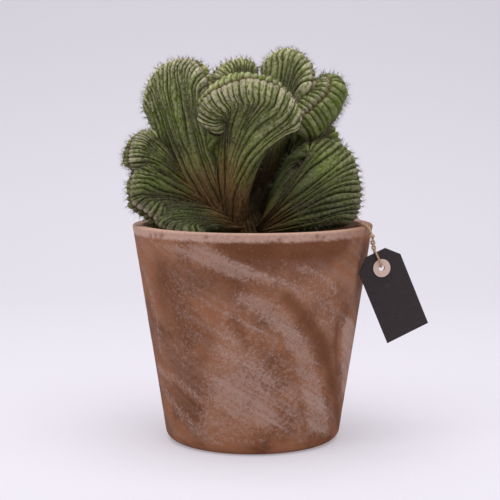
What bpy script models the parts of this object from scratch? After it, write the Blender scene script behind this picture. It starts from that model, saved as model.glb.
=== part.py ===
"""A crested cactus in a tapered clay pot, with a card tag on a twine.

The origin is the middle of the pot's foot, on the surface that the pot stands on.
+Z is up and -Y is the front. All lengths are in metres unless a name says MM.
"""

import math
import random
from typing import NamedTuple

import bmesh
import bpy
import numpy as np
from mathutils import Matrix, Vector

MM = 0.001
GAP = 0.3 * MM

# Pot
POT_HEIGHT = 0.171
RIM_RADIUS = 0.095
FOOT_RADIUS = 0.0685
FOOT_ROUNDING = 0.0085
WALL = 0.0085
FLOOR = 0.010
FLOOR_ROUNDING = 0.006
RIM_ROUNDING = 0.0015
POT_SIDES = 64
DRAIN_RADIUS = 0.005
DRAIN_CIRCLE = 0.030
DRAIN_COUNT = 3

# Soil
SOIL_DEPTH_BELOW_RIM = 0.019
SOIL_LUMP = 0.0012
SOIL_CROWN = 0.001
SOIL_CORNER = 0.008
SOIL_RINGS = 6
SOIL_SIDES = 48
STEM_HOLE_DEPTH = 0.040

# Cactus
STEM_FOOT = (-0.006, -0.005)
STEM_FOOT_RADIUS = 0.021
STEM_RIBS = 18
VALLEY_SHARE = 0.42
DEEPEST_VALLEY = 0.0018
SPINE_LENGTH = 0.0055
SPINE_RADIUS = 0.00055
SPINE_SUNK = 0.0012
SPINE_CLEARANCE = 0.001
SEED = 7

# Tag and twine
TAG_WIDTH = 0.0365
TAG_LENGTH = 0.069
TAG_THICKNESS = 0.0008
TAG_CORNER = 0.0095
TAG_TURN = math.radians(15)
TAG_LEAN = math.radians(23.4)
TAG_HOLE = (0.0987, -0.038, 0.1397)
HOLE_FROM_TOP = 0.0130
EYELET_RADIUS = 0.007
EYELET_BORE = 0.0024
EYELET_BARREL = 0.0030
EYELET_PLATE = 0.0005
TWINE_RADIUS = 0.0008


class Lobe(NamedTuple):
    """One crest, in millimetres: where its first and last rib leave the stem, pass, spread and end."""

    ribs: int
    half: float
    root: tuple
    knee: tuple
    fan: tuple
    crest: tuple


LOBES = {
    "upper_left": Lobe(
        ribs=18,
        half=8.5,
        root=((-20, -10, 168), (-6, -18, 168)),
        knee=((-80, 10, 203), (-28, -20, 212)),
        fan=((-66, 20, 244), (-62, 14, 262), (-46, 0, 256)),
        crest=(
            (-78, 36, 255), (-81, 34, 263), (-78, 28, 275), (-71, 20, 286),
            (-59, 10, 292), (-48, 0, 292), (-41, -8, 285), (-36, -10, 270),
        ),
    ),
    "front": Lobe(
        ribs=18,
        half=12.5,
        root=((-16, -16, 172), (-14, -20, 170), (-10, -26, 168)),
        knee=((-44, -6, 228), (-30, -9, 236), (-17, -15, 238), (-16, -34, 228), (-12, -44, 212)),
        fan=((-8, -26, 243), (-8, -20, 250), (0, -14, 257), (8, -24, 250), (12, -44, 236)),
        crest=(
            (-24, -24, 242), (-30, -26, 252), (-30, -31, 263), (-20, -39, 272), (-6, -45, 276),
            (8, -46, 274), (18, -44, 268), (24, -41, 260), (27, -38, 252), (28, -35, 243),
        ),
    ),
    "upper_right": Lobe(
        ribs=11,
        half=10,
        root=((-6, 4, 176), (4, -4, 176)),
        knee=((6, 10, 235), (24, 0, 232)),
        fan=((18, 20, 270), (26, 8, 274), (34, -2, 264)),
        crest=(
            (13, 34, 284), (17, 28, 293), (25, 19, 299), (34, 11, 298),
            (40, 5, 291), (42, 1, 282), (42, -6, 272),
        ),
    ),
    "right": Lobe(
        ribs=12,
        half=15.5,
        root=((-2, -2, 176), (4, -12, 176)),
        knee=((24, 16, 220), (22, 0, 212)),
        fan=((46, 42, 262), (54, 32, 258), (34, 20, 232)),
        crest=(
            (46, 26, 273), (55, 16, 277), (59, 7, 274), (56, 1, 266),
            (49, -3, 259), (39, -6, 250), (31, -8, 243),
        ),
    ),
    "low_right": Lobe(
        ribs=16,
        half=10,
        root=((6, -14, 168), (10, -24, 164)),
        knee=((8, -34, 186), (20, -38, 180), (26, -44, 165)),
        fan=((8, -42, 212), (38, -38, 206), (50, -46, 172)),
        crest=(
            (36, -20, 219), (42, -12, 224), (50, -6, 228), (60, -4, 228),
            (70, -8, 221), (74, -14, 208), (75, -21, 195), (73, -28, 182), (68, -36, 171),
        ),
    ),
    "left_upper": Lobe(
        ribs=10,
        half=9,
        root=((-24, -6, 172), (-28, 4, 186)),
        knee=((-56, -2, 200), (-66, 10, 226)),
        fan=((-78, 4, 216), (-80, 10, 228)),
        crest=((-88, -8, 212), (-92, -14, 220), (-91, -8, 229), (-86, 2, 235), (-78, 12, 238)),
    ),
    "left_lower": Lobe(
        ribs=11,
        half=9,
        root=((-22, -10, 170), (-26, -6, 178)),
        knee=((-54, -18, 180), (-60, -4, 206)),
        fan=((-70, -16, 186), (-74, -8, 202)),
        crest=(
            (-66, -30, 174), (-78, -28, 183), (-87, -26, 190), (-89, -23, 200),
            (-86, -15, 208), (-79, -6, 213),
        ),
    ),
    "low_front": Lobe(
        ribs=11,
        half=7.5,
        root=((-8, -24, 166), (-14, -22, 174)),
        knee=((-26, -44, 168), (-38, -30, 192)),
        fan=((-46, -44, 170), (-56, -34, 186)),
        crest=(
            (-34, -58, 165), (-50, -52, 168), (-63, -42, 172), (-71, -28, 177),
            (-74, -14, 181), (-68, -4, 184),
        ),
    ),
    "back_top": Lobe(
        ribs=10,
        half=8,
        root=((-14, 8, 186), (-2, 8, 186)),
        knee=((-20, 26, 236), (-4, 26, 236)),
        fan=((-18, 30, 271), (-4, 30, 273)),
        crest=((-30, 18, 272), (-26, 26, 285), (-15, 34, 293), (-5, 36, 294), (4, 32, 288)),
    ),
    "back_left": Lobe(
        ribs=14,
        half=9,
        root=((-16, 8, 178), (-24, 4, 184)),
        knee=((-28, 36, 190), (-54, 26, 210)),
        fan=((-34, 44, 206), (-52, 38, 226), (-60, 34, 222)),
        crest=(
            (-22, 58, 204), (-30, 60, 222), (-40, 56, 238), (-54, 50, 246),
            (-68, 44, 240), (-76, 38, 226), (-76, 34, 212),
        ),
    ),
    "back_low": Lobe(
        ribs=12,
        half=9,
        root=((6, 4, 170), (-10, 6, 170)),
        knee=((24, 30, 176), (-8, 34, 176)),
        fan=((26, 46, 182), (10, 48, 196), (-6, 50, 182)),
        crest=(
            (38, 48, 180), (36, 56, 194), (24, 62, 206), (8, 66, 208),
            (-8, 66, 200), (-14, 64, 184),
        ),
    ),
    "back_right": Lobe(
        ribs=14,
        half=9,
        root=((6, -2, 182), (-2, 6, 184)),
        knee=((36, 14, 200), (12, 32, 206)),
        fan=((48, 24, 216), (38, 32, 230), (20, 38, 226)),
        crest=(
            (60, 26, 206), (66, 30, 220), (62, 36, 236), (52, 42, 248),
            (38, 48, 254), (24, 54, 248), (14, 56, 234),
        ),
    ),
}

# Where the stem's middle and its half sizes across X and Y stand, from the soil up, in millimetres.
STEM_RINGS = (
    ((-6, -5, 158), (21, 21)),
    ((-8, -7, 166), (21, 22)),
    ((-12, -8, 180), (21, 23)),
    ((-16, -7, 195), (22, 22)),
    ((-17, -4, 210), (22, 21)),
    ((-12, 0, 228), (20, 18)),
    ((-8, 5, 246), (12, 10)),
)

# How far along a lobe's faces its points stand, from 0 at the root to 1 at the crest, and how many
# ribs have merged in one there.
FACE_STATIONS = {0.0: 4, 0.42: 2, 0.76: 1}
CAP_STEPS = 4

# The twine's route from the soil, up inside the wall and over the rim, to where its two legs twist.
ROUTE_OVER_RIM = (
    (0.0752, -0.0222, 0.1548),
    (0.0758, -0.0226, 0.1600),
    (0.0770, -0.0237, 0.1655),
    (0.0790, -0.0258, 0.1700),
    (0.0825, -0.0300, 0.1724),
    (0.0862, -0.0346, 0.1725),
    (0.0893, -0.0386, 0.1700),
    (0.0906, -0.0400, 0.1660),
)
TWIST_TOP = (0.0912, -0.0402, 0.1620)
TWIST_END_ABOVE_HOLE = 0.0152
TWIST_RADIUS = 0.00115
TWIST_TURNS = 1.0
LEG_FROM_CARD = 0.0018
LOOP_RADIUS = 0.0033
LOOP_LOW = 0.00105
TWINE_STEP = 0.0014
KNOT_RADIUS = 0.0024
KNOT_BORE = 0.0013
KNOT_HEIGHT = 0.0026
KNOT_ALONG = 0.45


def clear_scene():
    for obj in list(bpy.data.objects):
        bpy.data.objects.remove(obj)


def collection(name):
    made = bpy.data.collections.new(name)
    bpy.context.scene.collection.children.link(made)
    return made


def material(name, colour, roughness, metallic=0.0):
    made = bpy.data.materials.new(name)
    made.use_nodes = True
    shader = made.node_tree.nodes["Principled BSDF"]
    shader.inputs["Base Color"].default_value = (*colour, 1.0)
    shader.inputs["Roughness"].default_value = roughness
    shader.inputs["Metallic"].default_value = metallic
    return made


def add_object(name, data, home, finish=None):
    obj = bpy.data.objects.new(name, data)
    home.objects.link(obj)
    if finish:
        data.materials.append(finish)
    return obj


def baked(obj):
    """Turns the object's modifiers, or its curve, into a plain mesh on an object of the same name."""
    graph = bpy.context.evaluated_depsgraph_get()
    mesh = bpy.data.meshes.new_from_object(obj.evaluated_get(graph))
    name, home, place = obj.name, obj.users_collection[0], obj.matrix_world.copy()
    bpy.data.objects.remove(obj)
    made = bpy.data.objects.new(name, mesh)
    home.objects.link(made)
    made.matrix_world = place
    bpy.context.view_layer.update()
    return made


def smooth(obj, angle=40):
    obj.data.shade_smooth()
    obj.data.set_sharp_from_angle(angle=math.radians(angle))


def arc(centre, radius, start, end, steps):
    """Points of a round corner in the XZ plane, angles in degrees from +X."""
    turns = (math.radians(start + (end - start) * k / steps) for k in range(steps + 1))
    return [(centre[0] + radius * math.cos(a), centre[1] + radius * math.sin(a)) for a in turns]


def turned(name, profile, sides, home, finish):
    """A solid of revolution about Z. The profile runs down its outer side."""
    mesh = bpy.data.meshes.new(name)
    edges = [(k, k + 1) for k in range(len(profile) - 1)]
    mesh.from_pydata([(x, 0, z) for x, z in profile], edges, [])
    obj = add_object(name, mesh, home, finish)
    screw = obj.modifiers.new("turn", "SCREW")
    screw.steps = screw.render_steps = sides
    screw.use_merge_vertices = True
    screw.merge_threshold = 0.00001
    return obj


def cylinder(name, radius, low, high, place, home, sides=32):
    mesh = bpy.data.meshes.new(name)
    shape = bmesh.new()
    turn = Matrix.Translation((place[0], place[1], (low + high) / 2))
    bmesh.ops.create_cone(
        shape,
        cap_ends=True,
        segments=sides,
        radius1=radius,
        radius2=radius,
        depth=high - low,
        matrix=turn,
    )
    shape.to_mesh(mesh)
    shape.free()
    obj = add_object(name, mesh, home)
    obj.hide_render = True
    obj.display_type = "WIRE"
    return obj


def cut(obj, cutter):
    boolean = obj.modifiers.new("cut " + cutter.name, "BOOLEAN")
    boolean.operation = "DIFFERENCE"
    boolean.object = cutter


def outer_radius(z):
    return FOOT_RADIUS + (RIM_RADIUS - FOOT_RADIUS) * z / POT_HEIGHT


def make_pot(home, cutters):
    clay = material("terracotta", (0.24, 0.12, 0.08), 0.9)
    rim_inner = RIM_RADIUS - WALL
    lean = math.degrees(math.atan2(RIM_RADIUS - FOOT_RADIUS, POT_HEIGHT))
    foot_x = outer_radius(FOOT_ROUNDING) - FOOT_ROUNDING
    profile = [(0, FLOOR)]
    inner_foot = outer_radius(FLOOR + FLOOR_ROUNDING) - WALL
    floor_corner = (inner_foot - FLOOR_ROUNDING, FLOOR + FLOOR_ROUNDING)
    profile += arc(floor_corner, FLOOR_ROUNDING, -90, -lean, 4)
    profile += arc((rim_inner + RIM_ROUNDING, POT_HEIGHT - RIM_ROUNDING), RIM_ROUNDING, 180, 90, 3)
    profile += arc((RIM_RADIUS - RIM_ROUNDING, POT_HEIGHT - RIM_ROUNDING), RIM_ROUNDING, 90, -lean, 3)
    profile += arc((foot_x, FOOT_ROUNDING), FOOT_ROUNDING, -lean, -90, 5)
    profile += [(0, 0)]
    pot = turned("pot", profile, POT_SIDES, home, clay)
    for k in range(DRAIN_COUNT):
        turn = math.radians(30 + 360 * k / DRAIN_COUNT)
        place = (DRAIN_CIRCLE * math.cos(turn), DRAIN_CIRCLE * math.sin(turn))
        hole = cylinder(f"drain_{k}", DRAIN_RADIUS, -0.01, FLOOR + 0.01, place, cutters, 16)
        cut(pot, hole)
    pot = baked(pot)
    smooth(pot)


def lumps(x, y):
    """Low uneven mounds of the soil's top, from -1 to 1."""
    return (
        math.sin(95 * x + 1.3) * math.cos(83 * y - 0.4)
        + 0.6 * math.sin(210 * x - 150 * y + 2.0)
        + 0.4 * math.cos(330 * y + 120 * x)
    ) / 2


def make_soil(home, cutters):
    earth = material("potting_soil", (0.05, 0.035, 0.025), 0.95)
    top = POT_HEIGHT - SOIL_DEPTH_BELOW_RIM
    low = FLOOR + GAP
    edge = outer_radius(top) - WALL - 2 * GAP
    corner_top = low + SOIL_CORNER
    corner = outer_radius(corner_top) - WALL - 2 * GAP
    shares = [k / SOIL_RINGS for k in range(SOIL_RINGS + 1)]
    profile = [(edge * share, top + SOIL_CROWN * (1 - share)) for share in shares]
    profile += [
        (corner, corner_top),
        (corner - SOIL_CORNER * 0.4, low + SOIL_CORNER * 0.25),
        (corner - SOIL_CORNER, low),
        (0, low),
    ]
    soil = baked(turned("soil", profile, SOIL_SIDES, home, earth))
    for vertex in soil.data.vertices:
        x, y, z = vertex.co
        if z > top - GAP and math.hypot(x, y) < edge - GAP:
            vertex.co.z = z + SOIL_LUMP * lumps(x, y)
    reach = (top - STEM_HOLE_DEPTH, top + STEM_HOLE_DEPTH)
    cut(soil, cylinder("stem_hole", STEM_FOOT_RADIUS + 2 * GAP, *reach, STEM_FOOT, cutters, 40))
    smooth(soil)


def spline(points, count):
    """Points evenly spread along a smooth curve through the given ones."""
    knots = np.array(points, float)
    if len(knots) == 2:
        knots = np.array([knots[0], knots.mean(axis=0), knots[1]])
    chord = np.concatenate([[0], np.cumsum(np.linalg.norm(np.diff(knots, axis=0), axis=1))])
    slope = np.gradient(knots, chord, axis=0)
    at = np.linspace(0, chord[-1], count)
    part = np.clip(np.searchsorted(chord, at, side="right") - 1, 0, len(knots) - 2)
    span = (chord[part + 1] - chord[part])[:, None]
    u = ((at - chord[part]) / span[:, 0])[:, None]
    start, end = knots[part], knots[part + 1]
    leave, reach = slope[part] * span, slope[part + 1] * span
    return (
        (2 * u**3 - 3 * u**2 + 1) * start
        + (u**3 - 2 * u**2 + u) * leave
        + (3 * u**2 - 2 * u**3) * end
        + (u**3 - u**2) * reach
    )


def unit(vectors):
    return vectors / np.maximum(np.linalg.norm(vectors, axis=-1, keepdims=True), 1e-9)


def middle_sheet(lobe, columns, stations):
    """The lobe's middle surface [column, station] and the way it grows there: a curve for each rib line."""
    root, knee, fan, crest = (spline(line, columns)[:, None] for line in lobe[2:])
    spread = crest + 0.6 * (fan - crest)
    t = np.array(stations)[None, :, None]
    sheet = (
        (1 - t) ** 3 * root
        + 3 * t * (1 - t) ** 2 * knee
        + 3 * t**2 * (1 - t) * spread
        + t**3 * crest
    )
    growth = (
        3 * (1 - t) ** 2 * (knee - root)
        + 6 * t * (1 - t) * (spread - knee)
        + 3 * t**2 * (crest - spread)
    )
    return sheet, unit(growth)


def section(lobe):
    """For each point of a lobe's section: station, side (1 front, -1 back), angle round the crest."""
    front = [(t, 1.0, 0.0) for t in FACE_STATIONS]
    cap = [(1.0, 0.0, math.pi * k / CAP_STEPS) for k in range(CAP_STEPS + 1)]
    back = [(t, -1.0, 0.0) for t in reversed(FACE_STATIONS)]
    return front + cap + back


def is_beyond(side, angle):
    """Whether a point of a lobe's section lies past its crest, seen from its front."""
    return side < 0 or angle > math.pi / 2 + 0.01


def valley_phase(column, merged, beyond):
    """How many columns past a valley a column stands. The ribs beyond the crest stand half a rib off."""
    return (column + (1 if beyond else 0)) % (2 * merged)


def rib_columns(columns, merged, beyond):
    """For each column, the one that it has merged with: every valley stays, the rest join their ridge."""
    joined = []
    for column in range(columns):
        phase = valley_phase(column, merged, beyond)
        ridge = min(columns - 1, max(0, column - phase + merged))
        joined.append(column if phase == 0 else ridge)
    return joined


def lobe_points(lobe):
    """The lobe's skin [column, point of section] and its outward directions, in millimetres."""
    columns = 2 * lobe.ribs + 1
    stations = [*FACE_STATIONS, 1.0]
    sheet, growth = middle_sheet(lobe, columns, stations)
    across = unit(np.cross(np.gradient(sheet, axis=0), growth))
    along = np.concatenate([[0], np.cumsum(np.linalg.norm(np.diff(sheet[:, -1], axis=0), axis=1))])
    from_end = np.minimum(along, along[-1] - along) / lobe.half
    taper = np.sqrt(1 - (1 - np.clip(from_end, 0.06, 1)) ** 2)
    base, outward = [], []
    places = section(lobe)
    for station, side, angle in places:
        k = stations.index(station)
        if station < 1:
            way = side * across[:, k]
        else:
            way = math.cos(angle) * across[:, k] + math.sin(angle) * growth[:, k]
        half = lobe.half * (0.6 + 0.4 * station) * taper
        base.append(sheet[:, k] + half[:, None] * way)
        outward.append(way)
    base, outward = np.stack(base, axis=1), np.stack(outward, axis=1)
    spacing = 2 * np.linalg.norm(np.gradient(base, axis=0), axis=-1)
    depth = np.minimum(VALLEY_SHARE * spacing, DEEPEST_VALLEY / MM)
    for j, (station, side, angle) in enumerate(places):
        for i in range(1, columns - 1):
            if abs(angle - math.pi / 2) < 0.01:
                share = 0.55
            else:
                merged = FACE_STATIONS.get(station, 1)
                share = 1.0 if valley_phase(i, merged, is_beyond(side, angle)) == 0 else 0.0
            base[i, j] -= share * depth[i, j] * outward[i, j]
    return base, outward


def lofted(name, rings, home, joined=None):
    """A closed solid through rings of equally many points, with flat ends, some points joined."""
    count, around = rings.shape[:2]
    verts = rings.reshape(-1, 3) * MM
    faces = []
    for i in range(count - 1):
        for j in range(around):
            a, b = i * around + j, i * around + (j + 1) % around
            faces.append((a, a + around, b + around, b))
    faces.append(tuple(range(around)))
    faces.append(tuple((count - 1) * around + j for j in reversed(range(around))))
    mesh = bpy.data.meshes.new(name)
    mesh.from_pydata(verts.tolist(), [], faces)
    shape = bmesh.new()
    shape.from_mesh(mesh)
    if joined:
        shape.verts.ensure_lookup_table()
        pairs = {shape.verts[a]: shape.verts[b] for a, b in joined.items()}
        bmesh.ops.weld_verts(shape, targetmap=pairs)
    bmesh.ops.recalc_face_normals(shape, faces=shape.faces)
    bmesh.ops.triangulate(shape, faces=shape.faces)
    shape.to_mesh(mesh)
    shape.free()
    return add_object(name, mesh, home)


def merged_ribs(lobe):
    """The points of a lobe's loft that join another where ribs have merged."""
    columns = 2 * lobe.ribs + 1
    places = section(lobe)
    joined = {}
    for j, (station, side, angle) in enumerate(places):
        merged = FACE_STATIONS.get(station, 1)
        for i, target in enumerate(rib_columns(columns, merged, is_beyond(side, angle))):
            if target != i:
                joined[i * len(places) + j] = target * len(places) + j
    return joined


def make_stem(home):
    """The stem: a round foot in the soil, then a ribbed neck that the lobes grow from."""
    columns = 2 * STEM_RIBS
    turns = 2 * math.pi * np.arange(columns) / columns
    foot_low = (POT_HEIGHT - SOIL_DEPTH_BELOW_RIM - STEM_HOLE_DEPTH + GAP) / MM
    foot = ((STEM_FOOT[0] / MM, STEM_FOOT[1] / MM, foot_low), (STEM_FOOT_RADIUS / MM,) * 2)
    rings = []
    for k, (middle, halves) in enumerate((foot, *STEM_RINGS)):
        valley = np.where(np.arange(columns) % 2 == 0, 1 - 0.06 * min(1, max(0, k - 1)), 1.0)
        ring = np.stack(
            [
                middle[0] + halves[0] * valley * np.cos(turns),
                middle[1] + halves[1] * valley * np.sin(turns),
                np.full(columns, float(middle[2])),
            ],
            axis=1,
        )
        rings.append(ring)
    return lofted("stem", np.stack(rings), home)


def spine_places(points, outward, ribs):
    """One spine on each rib, at the face, beside the crest or on the other side in turn."""
    front = len(FACE_STATIONS)
    rows = (front - 1, front + CAP_STEPS // 2 + 1, front + 1, front + CAP_STEPS + 1, front)
    for rib in range(ribs):
        row = rows[rib % len(rows)]
        beyond = row > front + CAP_STEPS // 2
        column = 2 * rib + 1 if not beyond else min(2 * rib + 2, points.shape[0] - 2)
        yield points[column, row] * MM, outward[column, row]


def clear_of_pot(tip):
    """Whether a spine's tip stays inside the pot's wall and above the soil."""
    if tip.z > POT_HEIGHT + SPINE_CLEARANCE:
        return True
    soil_top = POT_HEIGHT - SOIL_DEPTH_BELOW_RIM + SOIL_LUMP
    wall = outer_radius(tip.z) - WALL
    return tip.z > soil_top + SPINE_CLEARANCE and math.hypot(tip.x, tip.y) < wall - SPINE_CLEARANCE


def make_spines(places, home, draw):
    """Three-sided needles, each with its root sunk in a rib."""
    shape = bmesh.new()
    for place, way in places:
        aim = Vector(way) + 0.25 * Vector([draw.uniform(-1, 1) for _ in range(3)])
        aim.normalize()
        length = SPINE_LENGTH * draw.uniform(0.8, 1.1) + SPINE_SUNK
        turn = aim.to_track_quat("Z", "Y").to_matrix().to_4x4()
        root = Vector(place) - SPINE_SUNK * aim
        if not clear_of_pot(root + length * aim):
            continue
        stand = Matrix.Translation(root) @ turn @ Matrix.Translation((0, 0, length / 2))
        bmesh.ops.create_cone(
            shape,
            cap_ends=True,
            cap_tris=True,
            segments=3,
            radius1=SPINE_RADIUS,
            radius2=0,
            depth=length,
            matrix=stand,
        )
    bmesh.ops.remove_doubles(shape, verts=shape.verts, dist=0.00001)
    mesh = bpy.data.meshes.new("spines")
    shape.to_mesh(mesh)
    shape.free()
    return add_object("spines", mesh, home)


def keep_largest_body(obj):
    """Drops loose scraps and the inner walls of hollows that the union sealed."""
    shape = bmesh.new()
    shape.from_mesh(obj.data)
    left = set(shape.verts)
    bodies = []
    while left:
        stack = [left.pop()]
        body = set(stack)
        while stack:
            for edge in stack.pop().link_edges:
                for vert in edge.verts:
                    if vert in left:
                        left.remove(vert)
                        body.add(vert)
                        stack.append(vert)
        bodies.append(body)
    largest = max(bodies, key=len)
    scraps = [vert for body in bodies if body is not largest for vert in body]
    bmesh.ops.delete(shape, geom=scraps, context="VERTS")
    shape.to_mesh(obj.data)
    shape.free()


def make_cactus(home):
    """The plant: stem, crested lobes and spines, joined in one body."""
    skin = material("cactus_skin", (0.16, 0.24, 0.07), 0.6)
    joined = collection("cactus pieces")
    draw = random.Random(SEED)
    places = []
    for name, lobe in LOBES.items():
        points, outward = lobe_points(lobe)
        lofted("lobe_" + name, points, joined, merged_ribs(lobe))
        places += list(spine_places(points, outward, lobe.ribs))
    make_spines(places, joined, draw)
    cactus = make_stem(home)
    cactus.name = "cactus"
    cactus.data.materials.append(skin)
    union = cactus.modifiers.new("grown together", "BOOLEAN")
    union.operation = "UNION"
    union.operand_type = "COLLECTION"
    union.collection = joined
    union.solver = "MANIFOLD"
    cactus = baked(cactus)
    for obj in list(joined.objects):
        bpy.data.objects.remove(obj)
    bpy.data.collections.remove(joined)
    keep_largest_body(cactus)
    smooth(cactus, 35)


def tag_frame():
    """The tag's place: origin in its hole, +Y up its length, +Z out of its front face."""
    front = Vector((math.sin(TAG_TURN), -math.cos(TAG_TURN), 0))
    side = Vector((math.cos(TAG_TURN), math.sin(TAG_TURN), 0))
    up = math.cos(TAG_LEAN) * Vector((0, 0, 1)) - math.sin(TAG_LEAN) * side
    right = up.cross(front)
    turn = Matrix((right, up, front)).transposed().to_4x4()
    return Matrix.Translation(TAG_HOLE) @ turn


def circle_spline(curve, radius, sides=24):
    ring = curve.splines.new("POLY")
    ring.points.add(sides - 1)
    for k, point in enumerate(ring.points):
        turn = 2 * math.pi * k / sides
        point.co = (radius * math.cos(turn), radius * math.sin(turn), 0, 1)
    ring.use_cyclic_u = True


def make_tag(home):
    card = material("black_card", (0.02, 0.018, 0.022), 0.6)
    outline = bpy.data.curves.new("tag", "CURVE")
    outline.dimensions = "2D"
    outline.fill_mode = "BOTH"
    outline.extrude = TAG_THICKNESS / 2
    side, top, low = TAG_WIDTH / 2, HOLE_FROM_TOP, HOLE_FROM_TOP - TAG_LENGTH
    corners = (
        (side, low),
        (side, top - TAG_CORNER),
        (side - TAG_CORNER, top),
        (TAG_CORNER - side, top),
        (-side, top - TAG_CORNER),
        (-side, low),
    )
    edge = outline.splines.new("POLY")
    edge.points.add(len(corners) - 1)
    for point, (x, y) in zip(edge.points, corners):
        point.co = (x, y, 0, 1)
    edge.use_cyclic_u = True
    circle_spline(outline, EYELET_BARREL + GAP)
    tag = add_object("tag", outline, home, card)
    tag.matrix_world = tag_frame()


def make_eyelet(home):
    """One pressed ring: a plate on each face of the card and a barrel through its hole."""
    pale = material("eyelet_card", (0.62, 0.50, 0.38), 0.7)
    face = TAG_THICKNESS / 2 + GAP
    profile = [
        (EYELET_BORE, face + EYELET_PLATE),
        (EYELET_RADIUS, face + EYELET_PLATE),
        (EYELET_RADIUS, face),
        (EYELET_BARREL, face),
        (EYELET_BARREL, -face),
        (EYELET_RADIUS, -face),
        (EYELET_RADIUS, -face - EYELET_PLATE),
        (EYELET_BORE, -face - EYELET_PLATE),
        (EYELET_BORE, face + EYELET_PLATE),
    ]
    eyelet = turned("eyelet", profile, 32, home, pale)
    eyelet.matrix_world = tag_frame()
    bpy.context.view_layer.update()
    smooth(baked(eyelet))


def twist_leg(phase):
    """One leg of the twisted stretch, from its top to its end over the tag's upper edge."""
    frame = tag_frame()
    top, end = Vector(TWIST_TOP), frame @ Vector((0, TWIST_END_ABOVE_HOLE, 0))
    along = (end - top).normalized()
    side = along.cross(frame.to_3x3() @ Vector((0, 0, 1))).normalized()
    front = side.cross(along)
    steps = 8
    leg = []
    for k in range(steps + 1):
        turn = phase + 2 * math.pi * TWIST_TURNS * k / steps
        way = math.cos(turn) * front + math.sin(turn) * side
        leg.append(top.lerp(end, k / steps) + TWIST_RADIUS * way)
    return leg


def loop_through_eyelet():
    """The twine's loop: down the card's front, through the eyelet's bore and up the card's back."""
    middle = LOOP_LOW + LOOP_RADIUS
    turns = [math.radians(90 - 30 * k) for k in range(7)]
    loop = [(middle - LOOP_RADIUS * math.cos(turn), LOOP_RADIUS * math.sin(turn)) for turn in turns]
    over_edge = (HOLE_FROM_TOP, LEG_FROM_CARD)
    between = ((middle + HOLE_FROM_TOP) / 2, (LOOP_RADIUS + LEG_FROM_CARD) / 2)
    front = [over_edge, between]
    back = [(height, -off) for height, off in reversed(front)]
    frame = tag_frame()
    return [frame @ Vector((0, height, off)) for height, off in front + loop + back]


def twine_route():
    """The whole twine: over the rim, one leg down, round through the eyelet, the other up to the knot."""
    down, up = twist_leg(0), twist_leg(math.pi)[1:]
    return [Vector(p) for p in ROUTE_OVER_RIM] + down + loop_through_eyelet() + up[::-1]


def make_twine(home):
    jute = material("jute", (0.50, 0.38, 0.24), 0.9)
    route = twine_route()
    length = sum((b - a).length for a, b in zip(route, route[1:]))
    points = spline([tuple(p) for p in route], round(length / TWINE_STEP))
    curve = bpy.data.curves.new("twine", "CURVE")
    curve.dimensions = "3D"
    curve.bevel_depth = TWINE_RADIUS
    curve.bevel_resolution = 2
    curve.use_fill_caps = True
    line = curve.splines.new("POLY")
    line.points.add(len(points) - 1)
    for point, place in zip(line.points, points):
        point.co = (*place, 1)
    add_object("twine", curve, home, jute)
    make_knot(home, jute)


def make_knot(home, jute):
    """The knot: the twine's end wound round its standing part, as one ring."""
    bulge = (KNOT_RADIUS - KNOT_BORE) * 0.4
    half = KNOT_HEIGHT / 2
    profile = [
        (KNOT_BORE, half),
        (KNOT_RADIUS - bulge, half),
        (KNOT_RADIUS, half * 0.4),
        (KNOT_RADIUS, -half * 0.4),
        (KNOT_RADIUS - bulge, -half),
        (KNOT_BORE, -half),
        (KNOT_BORE, half),
    ]
    knot = turned("knot", profile, 20, home, jute)
    above, below = Vector(ROUTE_OVER_RIM[-1]), twist_leg(0)[0]
    turn = (above - below).to_track_quat("Z", "Y").to_matrix().to_4x4()
    knot.matrix_world = Matrix.Translation(above.lerp(below, KNOT_ALONG)) @ turn
    bpy.context.view_layer.update()
    smooth(baked(knot))


def main():
    clear_scene()
    home = collection("Potted crested cactus")
    cutters = collection("Cutters")
    make_pot(home, cutters)
    make_soil(home, cutters)
    make_cactus(home)
    make_tag(home)
    make_eyelet(home)
    make_twine(home)


if __name__ == "__main__":
    main()
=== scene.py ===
"""The looks of a potted crested cactus, built round its fixed frame.

Lengths are in metres, +Z is up and -Y is the front. The plant's own lines are in millimetres.
"""

import math
import random
from contextlib import contextmanager
from typing import NamedTuple

import bmesh
import bpy
import numpy as np
from mathutils import Matrix, Vector


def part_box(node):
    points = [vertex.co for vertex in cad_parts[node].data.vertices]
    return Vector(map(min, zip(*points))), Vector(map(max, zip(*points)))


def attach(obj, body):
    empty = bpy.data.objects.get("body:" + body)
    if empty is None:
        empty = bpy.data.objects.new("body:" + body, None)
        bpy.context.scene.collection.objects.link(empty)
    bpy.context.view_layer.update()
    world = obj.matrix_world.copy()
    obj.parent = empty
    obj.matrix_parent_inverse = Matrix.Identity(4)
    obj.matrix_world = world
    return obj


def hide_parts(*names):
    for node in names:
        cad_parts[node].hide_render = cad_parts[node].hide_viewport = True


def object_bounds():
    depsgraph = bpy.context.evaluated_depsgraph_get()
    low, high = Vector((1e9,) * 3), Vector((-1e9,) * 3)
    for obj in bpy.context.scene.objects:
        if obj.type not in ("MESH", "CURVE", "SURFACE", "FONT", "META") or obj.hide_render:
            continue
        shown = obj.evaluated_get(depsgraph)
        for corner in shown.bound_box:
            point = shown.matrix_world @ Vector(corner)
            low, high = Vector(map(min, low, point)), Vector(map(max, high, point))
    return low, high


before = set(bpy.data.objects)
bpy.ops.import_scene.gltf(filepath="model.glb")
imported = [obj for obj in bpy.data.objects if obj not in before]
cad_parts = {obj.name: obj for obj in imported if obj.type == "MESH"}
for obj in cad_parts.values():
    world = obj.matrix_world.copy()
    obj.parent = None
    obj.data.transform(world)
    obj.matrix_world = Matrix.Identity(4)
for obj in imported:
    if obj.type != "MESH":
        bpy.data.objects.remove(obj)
CAD_BOX = [list(corner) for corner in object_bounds()]

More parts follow.
